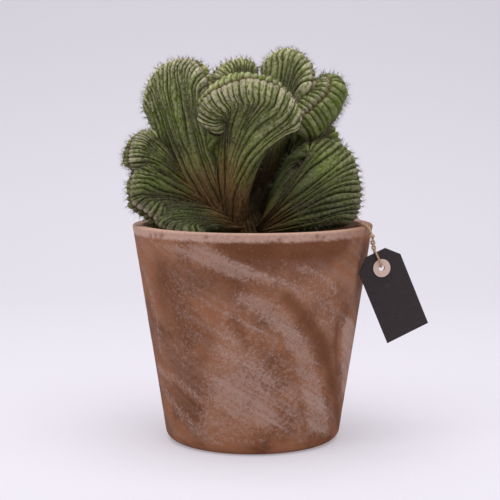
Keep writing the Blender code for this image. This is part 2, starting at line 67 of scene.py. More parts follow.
bl_info = {
    "name": "Potted crested cactus",
    "version": (1, 0, 0),
    "blender": (4, 5, 0),
    "location": "3D View > Sidebar > Cactus",
    "description": "Grows a crested cactus in its clay pot, with a card tag on a twine",
    "category": "Add Mesh",
}

MM = 0.001


def srgb(red, green, blue):
    """A linear colour from screen values of 0 to 255."""
    shares = [value / 255 for value in (red, green, blue)]
    return tuple(s / 12.92 if s <= 0.04045 else ((s + 0.055) / 1.055) ** 2.4 for s in shares)


def colour(label, about, value):
    return bpy.props.FloatVectorProperty(
        name=label, description=about, default=value, subtype="COLOR", min=0, max=1
    )


def length(label, about, value):
    return bpy.props.FloatProperty(
        name=label, description=about, default=value, subtype="DISTANCE", unit="LENGTH", min=0
    )


def share(label, about, value):
    return bpy.props.FloatProperty(
        name=label, description=about, default=value, subtype="FACTOR", min=0, max=1
    )


class PlantSettings(bpy.types.PropertyGroup):
    # Nearly black: partly the skin's own darker green at a crease's bottom and partly painted shade;
    # also the colour of the painted shade low on the plant and in the front hollow.
    shade_green: colour("Valley green", "Skin at the bottom of a crease", srgb(20, 21, 8))
    # Deep green also carries part of the painted shade low on the plant.
    deep_green: colour("Deep green", "Darker skin in broad patches", srgb(56, 68, 16))
    flank_green: colour("Flank green", "Skin on a rib's side", srgb(100, 122, 32))
    fresh_green: colour("Fresh green", "Skin of this year's growth", srgb(158, 174, 66))
    ridge_grey: colour("Ridge grey", "Weathered skin along a rib's ridge", srgb(222, 213, 184))
    cork: colour("Cork", "Old skin near the stem", srgb(100, 66, 38))
    pale_cork: colour("Pale cork", "Bare fibres of the old skin", srgb(184, 134, 88))
    wool: colour("Wool", "Felt in the furrow and in each areole", srgb(186, 176, 156))
    spine: colour("Spine", "A spine's colour", srgb(112, 98, 80))
    deepest_valley: length("Deepest valley", "How far a valley goes below its ridges", 0.0034)
    furrow: length("Furrow", "How deep the growing edge lies between its ribs", 0.0024)
    areole_step: length("Areole step", "Distance between areoles along a rib", 0.0046)
    spine_length: length("Spine length", "Length of a grown spine", 0.0064)
    spine_radius: length("Spine radius", "Radius of a spine at its root", 0.00011)
    spines_each: bpy.props.IntProperty(name="Spines", description="Spines an areole", default=7)
    seed: bpy.props.IntProperty(name="Seed", description="Seed of the plant's unevenness", default=7)


class PotSettings(bpy.types.PropertyGroup):
    clay: colour("Clay", "Fired clay", srgb(154, 103, 74))
    dark_clay: colour("Dark clay", "Clay with no bloom on it", srgb(112, 68, 44))
    wash: colour("Wash", "Lime bloom over the clay", srgb(184, 152, 138))
    rim: colour("Rim", "Bloom on the rim", srgb(214, 178, 162))
    bloom: share("Bloom", "How thick the lime bloom lies", 0.65)
    waviness: length("Waviness", "Unevenness of the turned wall", 0.00025)


class SoilSettings(bpy.types.PropertyGroup):
    peat: colour("Peat", "Potting mix", srgb(52, 38, 28))
    grit: colour("Grit", "Pale grains in the mix", srgb(150, 138, 120))
    crumb: length("Crumb", "Radius of the largest crumbs", 0.0016)
    crumbs: bpy.props.IntProperty(name="Crumbs", description="Loose crumbs on top", default=2200)


class TagSettings(bpy.types.PropertyGroup):
    card: colour("Card", "Dyed card", srgb(38, 29, 33))
    card_core: colour("Card core", "Cut edge of the card", srgb(84, 74, 72))
    ring: colour("Ring", "Pressed ring round the hole", srgb(224, 198, 182))
    edge: length("Edge", "Rounding of the card's cut edge", 0.00015)


class TwineSettings(bpy.types.PropertyGroup):
    jute: colour("Jute", "Fibre on top of a ply", srgb(206, 176, 142))
    # Painted shade in the grooves between the plies.
    shade: colour("Shade", "Fibre between the plies", srgb(140, 108, 78))
    radius: length("Radius", "Half the twine's thickness", 0.0008)
    lay: length("Lay", "Length of one turn of the plies", 0.0048)
    fibres: bpy.props.IntProperty(name="Fibres", description="Stray fibres", default=500)
    fibre_length: length("Fibre length", "Length of a stray fibre", 0.0022)


class StageSettings(bpy.types.PropertyGroup):
    paper: colour("Backdrop", "Pale studio backdrop", (0.865, 0.838, 0.915))
    glow: share("Glow", "How much light the backdrop gives by itself", 0.33)
    # Painted shade on the rising backdrop.
    far_shade: share("Far shade", "How much darker the backdrop is where it rises", 0.13)
    key_power: bpy.props.FloatProperty(name="Key", description="Power of the top light", default=25)
    fill_power: bpy.props.FloatProperty(name="Fill", description="Power of the fill", default=1.5)


SETTINGS = {
    "cactus_plant": PlantSettings,
    "cactus_pot": PotSettings,
    "cactus_soil": SoilSettings,
    "cactus_tag": TagSettings,
    "cactus_twine": TwineSettings,
    "cactus_stage": StageSettings,
}


class Value:
    """A socket that arithmetic works on: each operator adds its Math node."""

    def __init__(self, finish, socket):
        self.finish = finish
        self.socket = socket

    def math(self, operation, *values):
        inputs = dict(enumerate(values))
        return self.finish.node("ShaderNodeMath", {"operation": operation}, inputs)

    def __add__(self, other):
        return self.math("ADD", self, other)

    def __radd__(self, other):
        return self.math("ADD", other, self)

    def __sub__(self, other):
        return self.math("SUBTRACT", self, other)

    def __rsub__(self, other):
        return self.math("SUBTRACT", other, self)

    def __mul__(self, other):
        return self.math("MULTIPLY", self, other)

    def __rmul__(self, other):
        return self.math("MULTIPLY", other, self)

    def __abs__(self):
        return self.math("ABSOLUTE", self)


class Finish:
    """A procedural material and the tree that it is built in."""

    def __init__(self, name, constants):
        self.material = bpy.data.materials.new(name)
        self.material.use_nodes = True
        self.nodes = self.material.node_tree.nodes
        self.links = self.material.node_tree.links
        self.shader = self.nodes["Principled BSDF"]
        for socket, value in constants.items():
            self.feed(self.shader.inputs[socket], value)

    def feed(self, socket, value):
        if isinstance(value, Value):
            self.links.new(value.socket, socket)
        elif socket.type == "RGBA":
            socket.default_value = (*value[:3], 1)
        else:
            socket.default_value = value

    def node(self, kind, settings, inputs, output=0):
        """Adds a node: its settings first, then the values or links of its sockets."""
        made = self.nodes.new(kind)
        for name, value in settings.items():
            setattr(made, name, value)
        for key, value in inputs.items():
            self.feed(made.inputs[key], value)
        return Value(self, made.outputs[output])

    def place(self):
        return self.node("ShaderNodeTexCoord", {}, {}, "Object")

    def height(self):
        return self.node("ShaderNodeSeparateXYZ", {}, {"Vector": self.place()}, "Z")

    def off_upright(self, foot):
        """Distance from an upright line through foot."""
        flat = self.node("ShaderNodeMapping", {}, {"Vector": self.place(), "Scale": (1, 1, 0)})
        return self.node("ShaderNodeVectorMath", {"operation": "DISTANCE"}, {0: flat, 1: foot}, "Value")

    def attribute(self, name):
        return self.node("ShaderNodeAttribute", {"attribute_name": name}, {}, "Fac")

    def noise(self, scale, detail=4.0, roughness=0.55, distortion=0.0, vector=None):
        inputs = {
            "Vector": vector or self.place(),
            "Scale": scale,
            "Detail": detail,
            "Roughness": roughness,
            "Distortion": distortion,
        }
        return self.node("ShaderNodeTexNoise", {}, inputs)

    def band(self, value, low, high):
        """0 at low and 1 at high, smoothly between; low may lie above high."""
        inputs = {"Value": value, "From Min": low, "From Max": high}
        return self.node("ShaderNodeMapRange", {"interpolation_type": "SMOOTHSTEP"}, inputs)

    def blend(self, factor, low, high):
        return self.node("ShaderNodeMix", {"data_type": "RGBA"}, {0: factor, 6: low, 7: high}, 2)

    def bump(self, height, distance):
        inputs = {"Height": height, "Distance": distance, "Strength": 1.0}
        return self.node("ShaderNodeBump", {}, inputs)

    def set(self, inputs):
        for socket, value in inputs.items():
            self.feed(self.shader.inputs[socket], value)
        return self.material


class Lobe(NamedTuple):
    """One crest, in millimetres: where its first and last rib leave the stem, pass, spread and end.

    fresh says how young its skin looks, on its front and beyond its crest, and grey how weathered.
    """

    ribs: int
    half: float
    root: tuple
    knee: tuple
    fan: tuple
    crest: tuple
    fresh: tuple
    grey: float


LOBES = {
    "upper_left": Lobe(
        ribs=22,
        half=8.5,
        root=((-20, -10, 168), (-6, -18, 168)),
        knee=((-80, 10, 203), (-28, -20, 212)),
        fan=((-66, 20, 244), (-62, 14, 262), (-46, 0, 256)),
        crest=(
            (-78, 36, 255), (-81, 34, 263), (-78, 28, 275), (-71, 20, 286),
            (-59, 10, 292), (-48, 0, 292), (-41, -8, 285), (-36, -10, 270),
        ),
        fresh=(0.35, 0.9),
        grey=1.0,
    ),
    "front": Lobe(
        ribs=26,
        half=12.5,
        root=((-16, -16, 172), (-14, -20, 170), (-10, -26, 168)),
        knee=((-44, -6, 228), (-30, -9, 236), (-17, -15, 238), (-16, -34, 228), (-12, -44, 212)),
        fan=((-8, -26, 243), (-8, -20, 250), (0, -14, 257), (8, -24, 250), (12, -44, 236)),
        crest=(
            (-24, -24, 242), (-30, -26, 252), (-30, -31, 263), (-20, -39, 272), (-6, -45, 276),
            (8, -46, 274), (18, -44, 268), (24, -41, 260), (27, -38, 252), (28, -35, 243),
        ),
        fresh=(0.95, 0.8),
        grey=1.0,
    ),
    "upper_right": Lobe(
        ribs=14,
        half=10,
        root=((-6, 4, 176), (4, -4, 176)),
        knee=((6, 10, 235), (24, 0, 232)),
        fan=((18, 20, 270), (26, 8, 274), (34, -2, 264)),
        crest=(
            (13, 34, 284), (17, 28, 293), (25, 19, 299), (34, 11, 298),
            (40, 5, 291), (42, 1, 282), (42, -6, 272),
        ),
        fresh=(0.8, 0.7),
        grey=1.0,
    ),
    "right": Lobe(
        ribs=16,
        half=15.5,
        root=((-2, -2, 176), (4, -12, 176)),
        knee=((24, 16, 220), (22, 0, 212)),
        fan=((46, 42, 262), (54, 32, 258), (34, 20, 232)),
        crest=(
            (46, 26, 273), (55, 16, 277), (59, 7, 274), (56, 1, 266),
            (49, -3, 259), (39, -6, 250), (31, -8, 243),
        ),
        fresh=(0.5, 0.3),
        grey=0.6,
    ),
    "low_right": Lobe(
        ribs=22,
        half=10,
        root=((6, -14, 168), (10, -24, 164)),
        knee=((8, -34, 186), (20, -38, 180), (26, -44, 165)),
        fan=((8, -42, 212), (38, -38, 206), (50, -46, 172)),
        crest=(
            (36, -20, 219), (42, -12, 224), (50, -6, 228), (60, -4, 228),
            (70, -8, 221), (74, -14, 208), (75, -21, 195), (73, -28, 182), (68, -36, 171),
        ),
        fresh=(0.45, 0.3),
        grey=0.6,
    ),
    "left_upper": Lobe(
        ribs=15,
        half=9,
        root=((-24, -6, 172), (-28, 4, 186)),
        knee=((-56, -2, 200), (-66, 10, 226)),
        fan=((-78, 4, 216), (-80, 10, 228)),
        crest=((-88, -8, 212), (-92, -14, 220), (-91, -8, 229), (-86, 2, 235), (-78, 12, 238)),
        fresh=(0.5, 0.5),
        grey=0.6,
    ),
    "left_lower": Lobe(
        ribs=16,
        half=9,
        root=((-22, -10, 170), (-26, -6, 178)),
        knee=((-54, -18, 180), (-60, -4, 206)),
        fan=((-70, -16, 186), (-74, -8, 202)),
        crest=(
            (-66, -30, 174), (-78, -28, 183), (-87, -26, 190), (-89, -23, 200),
            (-86, -15, 208), (-79, -6, 213),
        ),
        fresh=(0.3, 0.3),
        grey=0.4,
    ),
    "low_front": Lobe(
        ribs=16,
        half=7.5,
        root=((-8, -24, 166), (-14, -22, 174)),
        knee=((-26, -44, 168), (-38, -30, 192)),
        fan=((-46, -44, 170), (-56, -34, 186)),
        crest=(
            (-34, -58, 165), (-50, -52, 168), (-63, -42, 172), (-71, -28, 177),
            (-74, -14, 181), (-68, -4, 184),
        ),
        fresh=(0.3, 0.3),
        grey=0.35,
    ),
    "back_top": Lobe(
        ribs=15,
        half=8,
        root=((-14, 8, 186), (-2, 8, 186)),
        knee=((-20, 26, 236), (-4, 26, 236)),
        fan=((-18, 30, 271), (-4, 30, 273)),
        crest=((-30, 18, 272), (-26, 26, 285), (-15, 34, 293), (-5, 36, 294), (4, 32, 288)),
        fresh=(0.95, 0.8),
        grey=0.85,
    ),
    "back_left": Lobe(
        ribs=21,
        half=9,
        root=((-16, 8, 178), (-24, 4, 184)),
        knee=((-28, 36, 190), (-54, 26, 210)),
        fan=((-34, 44, 206), (-52, 38, 226), (-60, 34, 222)),
        crest=(
            (-22, 58, 204), (-30, 60, 222), (-40, 56, 238), (-54, 50, 246),
            (-68, 44, 240), (-76, 38, 226), (-76, 34, 212),
        ),
        fresh=(0.4, 0.5),
        grey=0.6,
    ),
    "back_low": Lobe(
        ribs=18,
        half=9,
        root=((6, 4, 170), (-10, 6, 170)),
        knee=((24, 30, 176), (-8, 34, 176)),
        fan=((26, 46, 182), (10, 48, 196), (-6, 50, 182)),
        crest=(
            (38, 48, 180), (36, 56, 194), (24, 62, 206), (8, 66, 208),
            (-8, 66, 200), (-14, 64, 184),
        ),
        fresh=(0.3, 0.4),
        grey=0.6,
    ),
    "back_right": Lobe(
        ribs=21,
        half=9,
        root=((6, -2, 182), (-2, 6, 184)),
        knee=((36, 14, 200), (12, 32, 206)),
        fan=((48, 24, 216), (38, 32, 230), (20, 38, 226)),
        crest=(
            (60, 26, 206), (66, 30, 220), (62, 36, 236), (52, 42, 248),
            (38, 48, 254), (24, 54, 248), (14, 56, 234),
        ),
        fresh=(0.5, 0.4),
        grey=0.5,
    ),
}

# Where the stem's middle and its half sizes across X and Y stand, from the soil up, in millimetres.
STEM_RINGS = (
    ((-6, -5, 150), (20.5, 20.5)),
    ((-6, -5, 158), (21, 21)),
    ((-8, -7, 166), (21, 22)),
    ((-12, -8, 180), (21, 23)),
    ((-16, -7, 195), (22, 22)),
    ((-17, -4, 210), (22, 21)),
    ((-12, 0, 226), (20, 18)),
    ((-9, 4, 238), (13, 11)),
    ((-8, 5, 243), (6, 5)),
    ((-8, 5, 245), (1, 1)),
)
STEM_RIBS = 34
STEM_COLUMNS_A_RIB = 8
STEM_ROWS = 70
STEM_RIB_DEPTH = 1.5

# A lobe's mesh: columns across each rib, rows up each face and over its crest, and columns that
# round off each end.
COLUMNS_A_RIB = 6
FACE_ROWS = 64
CAP_STEPS = 18
END_COLUMNS = 6

# A lobe's form, in millimetres and in shares of its ribs, its half thickness or its way up.
CREST_SPREAD = 0.6
FOOT_THICKNESS = 0.6
SWAY = 0.75
SWAY_PERIOD = 9.0
SWAY_UPWARD = 3.5
DEPTH_OF_SPACING = 0.75
RIB_UNEVENNESS = 0.9
FURROW_WIDTH = 1.5
FELT_WIDTH = 1.3
TIP_FROM_FURROW = 3.2
TIP_WIDTH = 1.8
TIP_HEIGHT = 0.5
BEAD_HEIGHT = 0.10
CREST_REACH = 16
FRESH_AT_FOOT = 0.35
ROW_CROWDING = 1.2
SPINES_FROM = 0.42
GREY_BEYOND = 0.6

# How far up a lobe its ribs split in two and in two again, where the valleys between them start,
# how fast these open, and how far the ribs stray.
FIRST_SPLIT = (0, 0.7)
LAST_SPLIT = (0.45, 0.85)
QUARTER_ONSET = (0.0, 0.4)
LAST_ONSET = (0.35, 0.8)
VALLEY_OPENING = 0.22
RIB_STRAY = 0.16

# Unevenness in layers: how high and how wide its lumps are, in millimetres, the waves that make up
# a layer, and each one's share of its height.
LOBE_LUMPS = ((0.7, 24), (0.25, 7))
STEM_LUMPS = ((0.9, 12), (0.4, 4))
WALL_LUMPS = ((1, 60), (0.4, 14))
WAVES_A_LAYER = 5
WAVE_SHARE = 0.32

# The foot of the painted shade in the hollow between the front lobes, how far needles may pass the
# frame's box, and how near to each other points are merged, in metres.
HOLLOW_MIDDLE = (0.018, 0.005, 0)
BEYOND_BOX = 0.004
MERGE = 0.00002

# The pot in metres, as the frame has it, and then the rows and columns of its mesh.
RIM_RADIUS = 0.095
FOOT_RADIUS = 0.0685
POT_HEIGHT = 0.171
WALL = 0.0085
FLOOR = 0.010
FOOT_ROUNDING = 0.0085
FLOOR_ROUNDING = 0.006
RIM_ROUNDING = 0.0015
DRAIN_RADIUS = 0.005
DRAIN_CIRCLE = 0.030
DRAIN_COUNT = 3
DRAIN_SIDES = 48
POT_COLUMNS = 450
POT_MIDDLE = 0.0006
BASE_ROWS = 13
FOOT_STEPS = 12
WALL_ROWS = 125
LIP_ROWS = 3

# The wall's wear and tone: the heights over which its unevenness grows above the foot and fades below
# the rim, the pits' size, where round the rim its bloom is thin, and the heights of bloom and darker
# foot.
UNEVEN_FROM = (12, 22)
UNEVEN_TO = (164, 168)
PIT_RADIUS = 1.5
PIT_DEPTH = 0.0005
RIM_THIN = 0.75
RIM_THIN_AT = 72
RIM_THIN_WIDTH = 26
RIM_BLOOM = (0.1632, 0.1660)
DARKER_FOOT_HEIGHT = 0.006
POT_SEED = 5

# How the smears lie: their turn round the pot a millimetre up, in radians, how fast their grain
# changes that way, and the cover at their outlines.
SMEAR_TURN = 0.0215
SMEAR_RISE = 0.0025
COVER_AT_EDGE = 0.3
MM_A_DEGREE = math.radians(1) * (FOOT_RADIUS + RIM_RADIUS) / 2 / MM


class Smear(NamedTuple):
    """A mark on the pot's wall, along a line or over a closed outline if width is 0.

    Its edge fades over soft millimetres. Its points are degrees round from the front and heights in
    millimetres.
    """

    strength: float
    width: float
    soft: float
    points: tuple


LIME_MARKS = (
    Smear(0.85, 0, 9, (
        (-56, 162), (-38, 164), (-22, 164), (-12, 158), (-3, 150), (7, 143), (16, 135), (11, 132),
        (3, 134), (-8, 135), (-19, 141), (-30, 147), (-43, 154),
    )),
    Smear(0.78, 0, 9, (
        (-8, 131), (4, 129), (16, 119), (24, 104), (33, 85), (41, 63), (50, 39), (60, 12), (54, 8),
        (35, 12), (32, 27), (28, 47), (22, 71), (14, 91), (5, 105), (-4, 113), (-11, 120),
    )),
    Smear(0.52, 0, 16, (
        (-14, 125), (5, 108), (15, 94), (24, 71), (31, 47), (35, 26), (37, 11), (17, 12), (-8, 12),
        (-32, 13), (-40, 25), (-34, 46), (-29, 66), (-24, 86), (-20, 110),
    )),
    Smear(0.8, 0, 12, (
        (-23, 66), (-7, 73), (6, 64), (16, 44), (23, 21), (6, 18), (-11, 23), (-24, 37), (-28, 52),
    )),
    Smear(0.7, 6, 8, ((-73, 59), (-50, 56), (-39, 48), (-30, 41))),
    Smear(0.5, 10, 12, ((-68, 44), (-53, 33), (-38, 20), (-20, 14))),
    Smear(0.45, 3, 5, ((9, 156), (14, 153), (18, 151))),
    Smear(0.62, 4, 6, ((22, 145), (31, 141), (39, 134), (45, 124))),
    Smear(0.52, 6, 8, ((13, 136), (20, 130), (25, 121))),
    Smear(0.45, 4, 6, ((25, 108), (35, 103), (46, 99))),
    Smear(0.45, 3.5, 6, ((36, 127), (44, 114), (52, 98))),
    Smear(0.8, 0, 7, (
        (54, 93), (58, 105), (72, 99), (88, 71), (88, 44), (75, 33), (68, 38), (59, 65),
    )),
    Smear(0.35, 0, 14, (
        (12, 140), (24, 148), (40, 142), (50, 120), (56, 96), (46, 90), (34, 104), (22, 118),
    )),
    Smear(0.5, 6, 9, ((-69, 140), (-64, 123), (-61, 100), (-63, 76))),
    Smear(0.62, 2.5, 5, ((-31, 14), (-11, 13), (6, 12))),
    Smear(0.3, 0, 22, (
        (-58, 150), (-30, 144), (-12, 129), (-16, 106), (-23, 83), (-32, 54), (-52, 62), (-59, 92),
    )),
    Smear(0.7, 0, 14, (
        (96, 160), (120, 150), (146, 118), (168, 84), (176, 50), (150, 44), (126, 78), (106, 120),
    )),
    Smear(0.8, 6, 7, ((88, 150), (112, 140), (134, 112), (152, 78))),
    Smear(0.65, 8, 10, ((-172, 150), (-150, 136), (-132, 108), (-112, 92), (-96, 60))),
    Smear(0.5, 14, 12, ((-120, 40), (-104, 26), (-84, 18))),
    Smear(0.55, 9, 10, ((-100, 152), (-88, 136), (-80, 116))),
)
BARE_MARKS = (
    Smear(1.0, 12, 8, ((-9, 164), (4, 161), (17, 159), (32, 161), (44, 161))),
    Smear(0.9, 6, 6, ((17, 123), (29, 105), (40, 84), (51, 59), (62, 32), (75, 10))),
    Smear(0.7, 5, 6, ((-10, 105), (-5, 95), (-3, 87))),
    Smear(0.5, 8, 8, ((1, 88), (10, 76), (19, 58))),
    Smear(0.6, 12, 12, ((-50, 142), (-50, 117), (-44, 95))),
    Smear(0.8, 3, 4, ((50, 104), (51, 82), (57, 57))),
    Smear(0.9, 4, 5, ((-60, 2), (0, 2), (60, 2))),
)
PITS = (
    (-54.5, 166.2), (-50.2, 167.2), (-46.6, 166.4), (-45.3, 167.6), (-21, 168.2), (12, 166.6),
    (30, 168), (33.5, 166.9), (-50, 91.5), (-48.5, 90),
)

# How far under the soil's top loose crumbs may lie, and how deep they are sunk, in metres.
CRUMBS_DOWN_TO = 0.006
CRUMB_SUNK = 0.0002
CRUMB_SEED = 11

# The twine's route from the soil, up inside the wall and over the rim, to where its two legs twist.
ROUTE_OVER_RIM = (
    (0.0752, -0.0222, 0.1548),
    (0.0758, -0.0226, 0.1600),
    (0.0770, -0.0237, 0.1655),
    (0.0790, -0.0258, 0.1700),
    (0.0825, -0.0300, 0.1724),
    (0.0862, -0.0346, 0.1725),
    (0.0893, -0.0386, 0.1700),
    (0.0906, -0.0400, 0.1660),
)
TWIST_TOP = (0.0912, -0.0402, 0.1620)
TWIST_END_ABOVE_HOLE = 0.0152
TWIST_RADIUS = 0.00115
TWIST_TURNS = 1.0
LEG_FROM_CARD = 0.0018
LOOP_RADIUS = 0.0033
LOOP_LOW = 0.00105
TWINE_STEP = 0.0014
KNOT_ALONG = 0.45
KNOT_HEIGHT = 0.0026
KNOT_TURN_RADIUS = 0.0017
PLY_WAIST = 0.70
KNOT_TURNS = 2.3
KNOT_POINTS = 70
KNOT_CORD_RADIUS = 0.00066
KNOT_END_ROOM = 0.00065
FIBRE_RADIUS = 0.00004
FIBRE_SEED = 3

# How far needles spread from their aim, and how much shorter the youngest spines are.
NEEDLE_SPREAD = 0.75
YOUNG_SHORTER = 0.35

# The tag: its hole's way down from its top, how far it is turned and leans, its hole's place, and
# the angles in degrees that tell a flat edge of its mesh from one that is rounded or shaded sharp.
HOLE_FROM_TOP = 0.0130
TAG_TURN = math.radians(15)
TAG_LEAN = math.radians(23.4)
TAG_HOLE = (0.0987, -0.038, 0.1397)
FLAT_TURN = 2
ROUNDED_TURN = 40
SHARP_TURN = 30

# The camera: a long lens, a little above the plant and looking slightly down.
PICTURE_SIZE = 500
FOCAL_PIXELS = 1340
CAMERA_PLACE = (0, -1.058, 0.260)
CAMERA_PITCH = 0.104
PICTURE_CENTRE = 252.6
SENSOR_WIDTH = 36

# The studio: a paper sweep, the point that the lights look at, the room's own faint light, and each
# light's setting for its power, its size and its place.
SWEEP_NEAR = -1.6
SWEEP_FAR = 1.3
SWEEP_HEIGHT = 2.2
SWEEP_BEND = 0.5
SWEEP_HALF = 2.2
LIT_MIDDLE = (0, 0, 0.15)
ROOM_TONE = (1.0, 0.97, 0.97, 1)
ROOM_LIGHT = 0.26
LIGHTS = {
    "top_light": ("key_power", (1.8, 1.8), (-0.06, -0.25, 1.6)),
    "left_fill": ("fill_power", (0.7, 1.0), (-1.1, -0.6, 0.5)),
    "right_fill": ("fill_power", (0.7, 1.0), (1.1, -0.6, 0.5)),
}


def unit(vectors):
    return vectors / np.maximum(np.linalg.norm(vectors, axis=-1, keepdims=True), 1e-9)


def lengths_along(line):
    """The length of a line of points from its start to each of them."""
    return np.concatenate([[0], np.cumsum(np.linalg.norm(np.diff(line, axis=0), axis=1))])


def hill(distance, width):
    """A smooth hill, 1 at no distance and near 0 past twice its width."""
    return np.exp(-((distance / width) ** 2))


def quarter_round(part):
    """How high a round edge stands, 0 to 1, at a part of its width from its foot."""
    return np.sqrt(1 - (1 - np.clip(part, 0, 1)) ** 2)


def spline(points, shares):
    """Points at the given shares, 0 to 1, of a smooth curve through the given ones."""
    knots = np.array(points, float)
    if len(knots) == 2:
        knots = np.array([knots[0], knots.mean(axis=0), knots[1]])
    chord = lengths_along(knots)
    slope = np.gradient(knots, chord, axis=0)
    at = np.asarray(shares) * chord[-1]
    part = np.clip(np.searchsorted(chord, at, side="right") - 1, 0, len(knots) - 2)
    span = (chord[part + 1] - chord[part])[:, None]
    u = ((at - chord[part]) / span[:, 0])[:, None]
    start, end = knots[part], knots[part + 1]
    leave, reach = slope[part] * span, slope[part + 1] * span
    return (
        (2 * u**3 - 3 * u**2 + 1) * start
        + (u**3 - 2 * u**2 + u) * leave
        + (3 * u**2 - 2 * u**3) * end
        + (u**3 - u**2) * reach
    )


def new_object(name, data, finish=None):
    obj = bpy.data.objects.new(name, data)
    bpy.context.scene.collection.objects.link(obj)
    if finish:
        data.materials.append(finish)
    return obj


def grid_mesh(name, points, wrap=False):
    """A smooth mesh on a grid of points [row, column]; wrap joins the last column to the first."""
    rows, columns = points.shape[:2]
    starts = np.arange(columns if wrap else columns - 1)
    row, column = np.meshgrid(np.arange(rows - 1), starts, indexing="ij")
    a = row * columns + column
    b = row * columns + (column + 1) % columns
    faces = np.stack([a, a + columns, b + columns, b], axis=-1).reshape(-1, 4)
    mesh = bpy.data.meshes.new(name)
    mesh.from_pydata(points.reshape(-1, 3).tolist(), [], faces.tolist())
    return mesh


def add_values(mesh, shape, values):
    """Gives a grid's points their attributes, from numbers or arrays that spread over its shape."""
    for name, value in values.items():
        made = mesh.attributes.new(name, "FLOAT", "POINT")
        made.data.foreach_set("value", np.broadcast_to(value, shape).astype(np.float32).ravel())


def add_vectors(mesh, name, vectors):
    made = mesh.attributes.new(name, "FLOAT_VECTOR", "POINT")
    made.data.foreach_set("vector", np.asarray(vectors, np.float32).ravel())


@contextmanager
def opened(mesh):
    """A mesh's shape for editing, put back into the mesh at the end."""
    shape = bmesh.new()
    shape.from_mesh(mesh)
    yield shape
    shape.to_mesh(mesh)
    shape.free()


def close_up(mesh, distance):
    """Merges the points that meet, turns the faces outwards and shades them smooth."""
    with opened(mesh) as shape:
        bmesh.ops.remove_doubles(shape, verts=shape.verts, dist=distance)
        bmesh.ops.dissolve_degenerate(shape, edges=shape.edges, dist=distance / 2)
        bmesh.ops.recalc_face_normals(shape, faces=shape.faces)
    mesh.shade_smooth()


def close_ends(mesh, shape):
    """Closes a wrapped grid's first and last row with a fan each."""
    rows, columns = shape
    with opened(mesh) as made:
        made.verts.ensure_lookup_table()
        ends = [[made.verts[row * columns + k] for k in range(columns)] for row in (0, rows - 1)]
        for ring in ends:
            middle = made.verts.new(sum((v.co for v in ring), Vector()) / columns)
            for k in range(columns):
                made.faces.new((ring[k], ring[(k + 1) % columns], middle))
        bmesh.ops.recalc_face_normals(made, faces=made.faces)
    mesh.shade_smooth()


def settle(obj):
    """Leaves an object's modifiers in its mesh."""
    graph = bpy.context.evaluated_depsgraph_get()
    made = bpy.data.meshes.new_from_object(obj.evaluated_get(graph))
    obj.modifiers.clear()
    obj.data = made


def dress(piece, node=None):
    """Makes a piece ride on the one body, in place of the node it stands for, which it hides."""
    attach(piece, "root")
    if node:
        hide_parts(node)


def drift(steps, stations, ribs, phase):
    """How far ribs sway sideways on their way up, in ribs: neighbours sway together."""
    sway = np.sin(2 * math.pi * (steps / SWAY_PERIOD + phase) + SWAY_UPWARD * stations)
    from_ends = np.clip(np.minimum(steps, ribs - steps) / 2, 0, 1)
    return SWAY * sway * np.sin(math.pi * stations) ** 0.7 * from_ends


def rib_relief(steps, stations, ribs, shift, phase, draw):
    """Depth below the ridges, 0 to 1, and the local width of a rib, [column, station].

    steps are the columns' places in ribs. Every fourth valley runs from the root, the others open
    on their way to the crest.
    """
    t = stations[None, :]
    first, last = (np.interp(t, split, (0, 1)) for split in (FIRST_SPLIT, LAST_SPLIT))
    width = 4 / (1 + first + 2 * last)
    depth = np.zeros((len(steps), len(stations)))
    swayed = steps[:, None] - drift(steps[:, None], t, ribs, phase)
    for k in range(-1, ribs + 2):
        place = k + shift + draw.uniform(-RIB_STRAY, RIB_STRAY)
        wave = 0.10 * np.sin(t * draw.uniform(5, 9) + draw.uniform(0, 6))
        onset = 0.0
        if k % 2:
            onset = draw.uniform(*LAST_ONSET)
        elif k % 4:
            onset = draw.uniform(*QUARTER_ONSET)
        least = 0 if onset else 1
        strength = draw.uniform(0.7, 1.1) * np.clip((t - onset) / VALLEY_OPENING, least, 1)
        away = np.abs(swayed - place - wave) / width
        depth = np.maximum(depth, strength * (1 - quarter_round(2 * away)))
    return np.clip(depth, 0, 1), width


def lobe_columns(ribs):
    """Shares of the crest at which a lobe's columns stand, crowded at both ends, where it rounds off."""
    whole = np.arange(ribs * COLUMNS_A_RIB + 1) / (ribs * COLUMNS_A_RIB)
    near = whole[1] * (np.arange(1, END_COLUMNS) / END_COLUMNS) ** 2
    return np.sort(np.concatenate([whole, near, 1 - near]))


def lumps(places, draw, layers):
    """Low smooth unevenness over a set of points, in layers of a height and a width each."""
    total = np.zeros(places.shape[:-1])
    for height, width in layers:
        for _ in range(WAVES_A_LAYER):
            way = np.array([draw.uniform(-1, 1) for _ in range(3)])
            wave = np.sin(places @ (way * 2 * math.pi / width) + draw.uniform(0, 6.28))
            total += WAVE_SHARE * height * wave
    return total


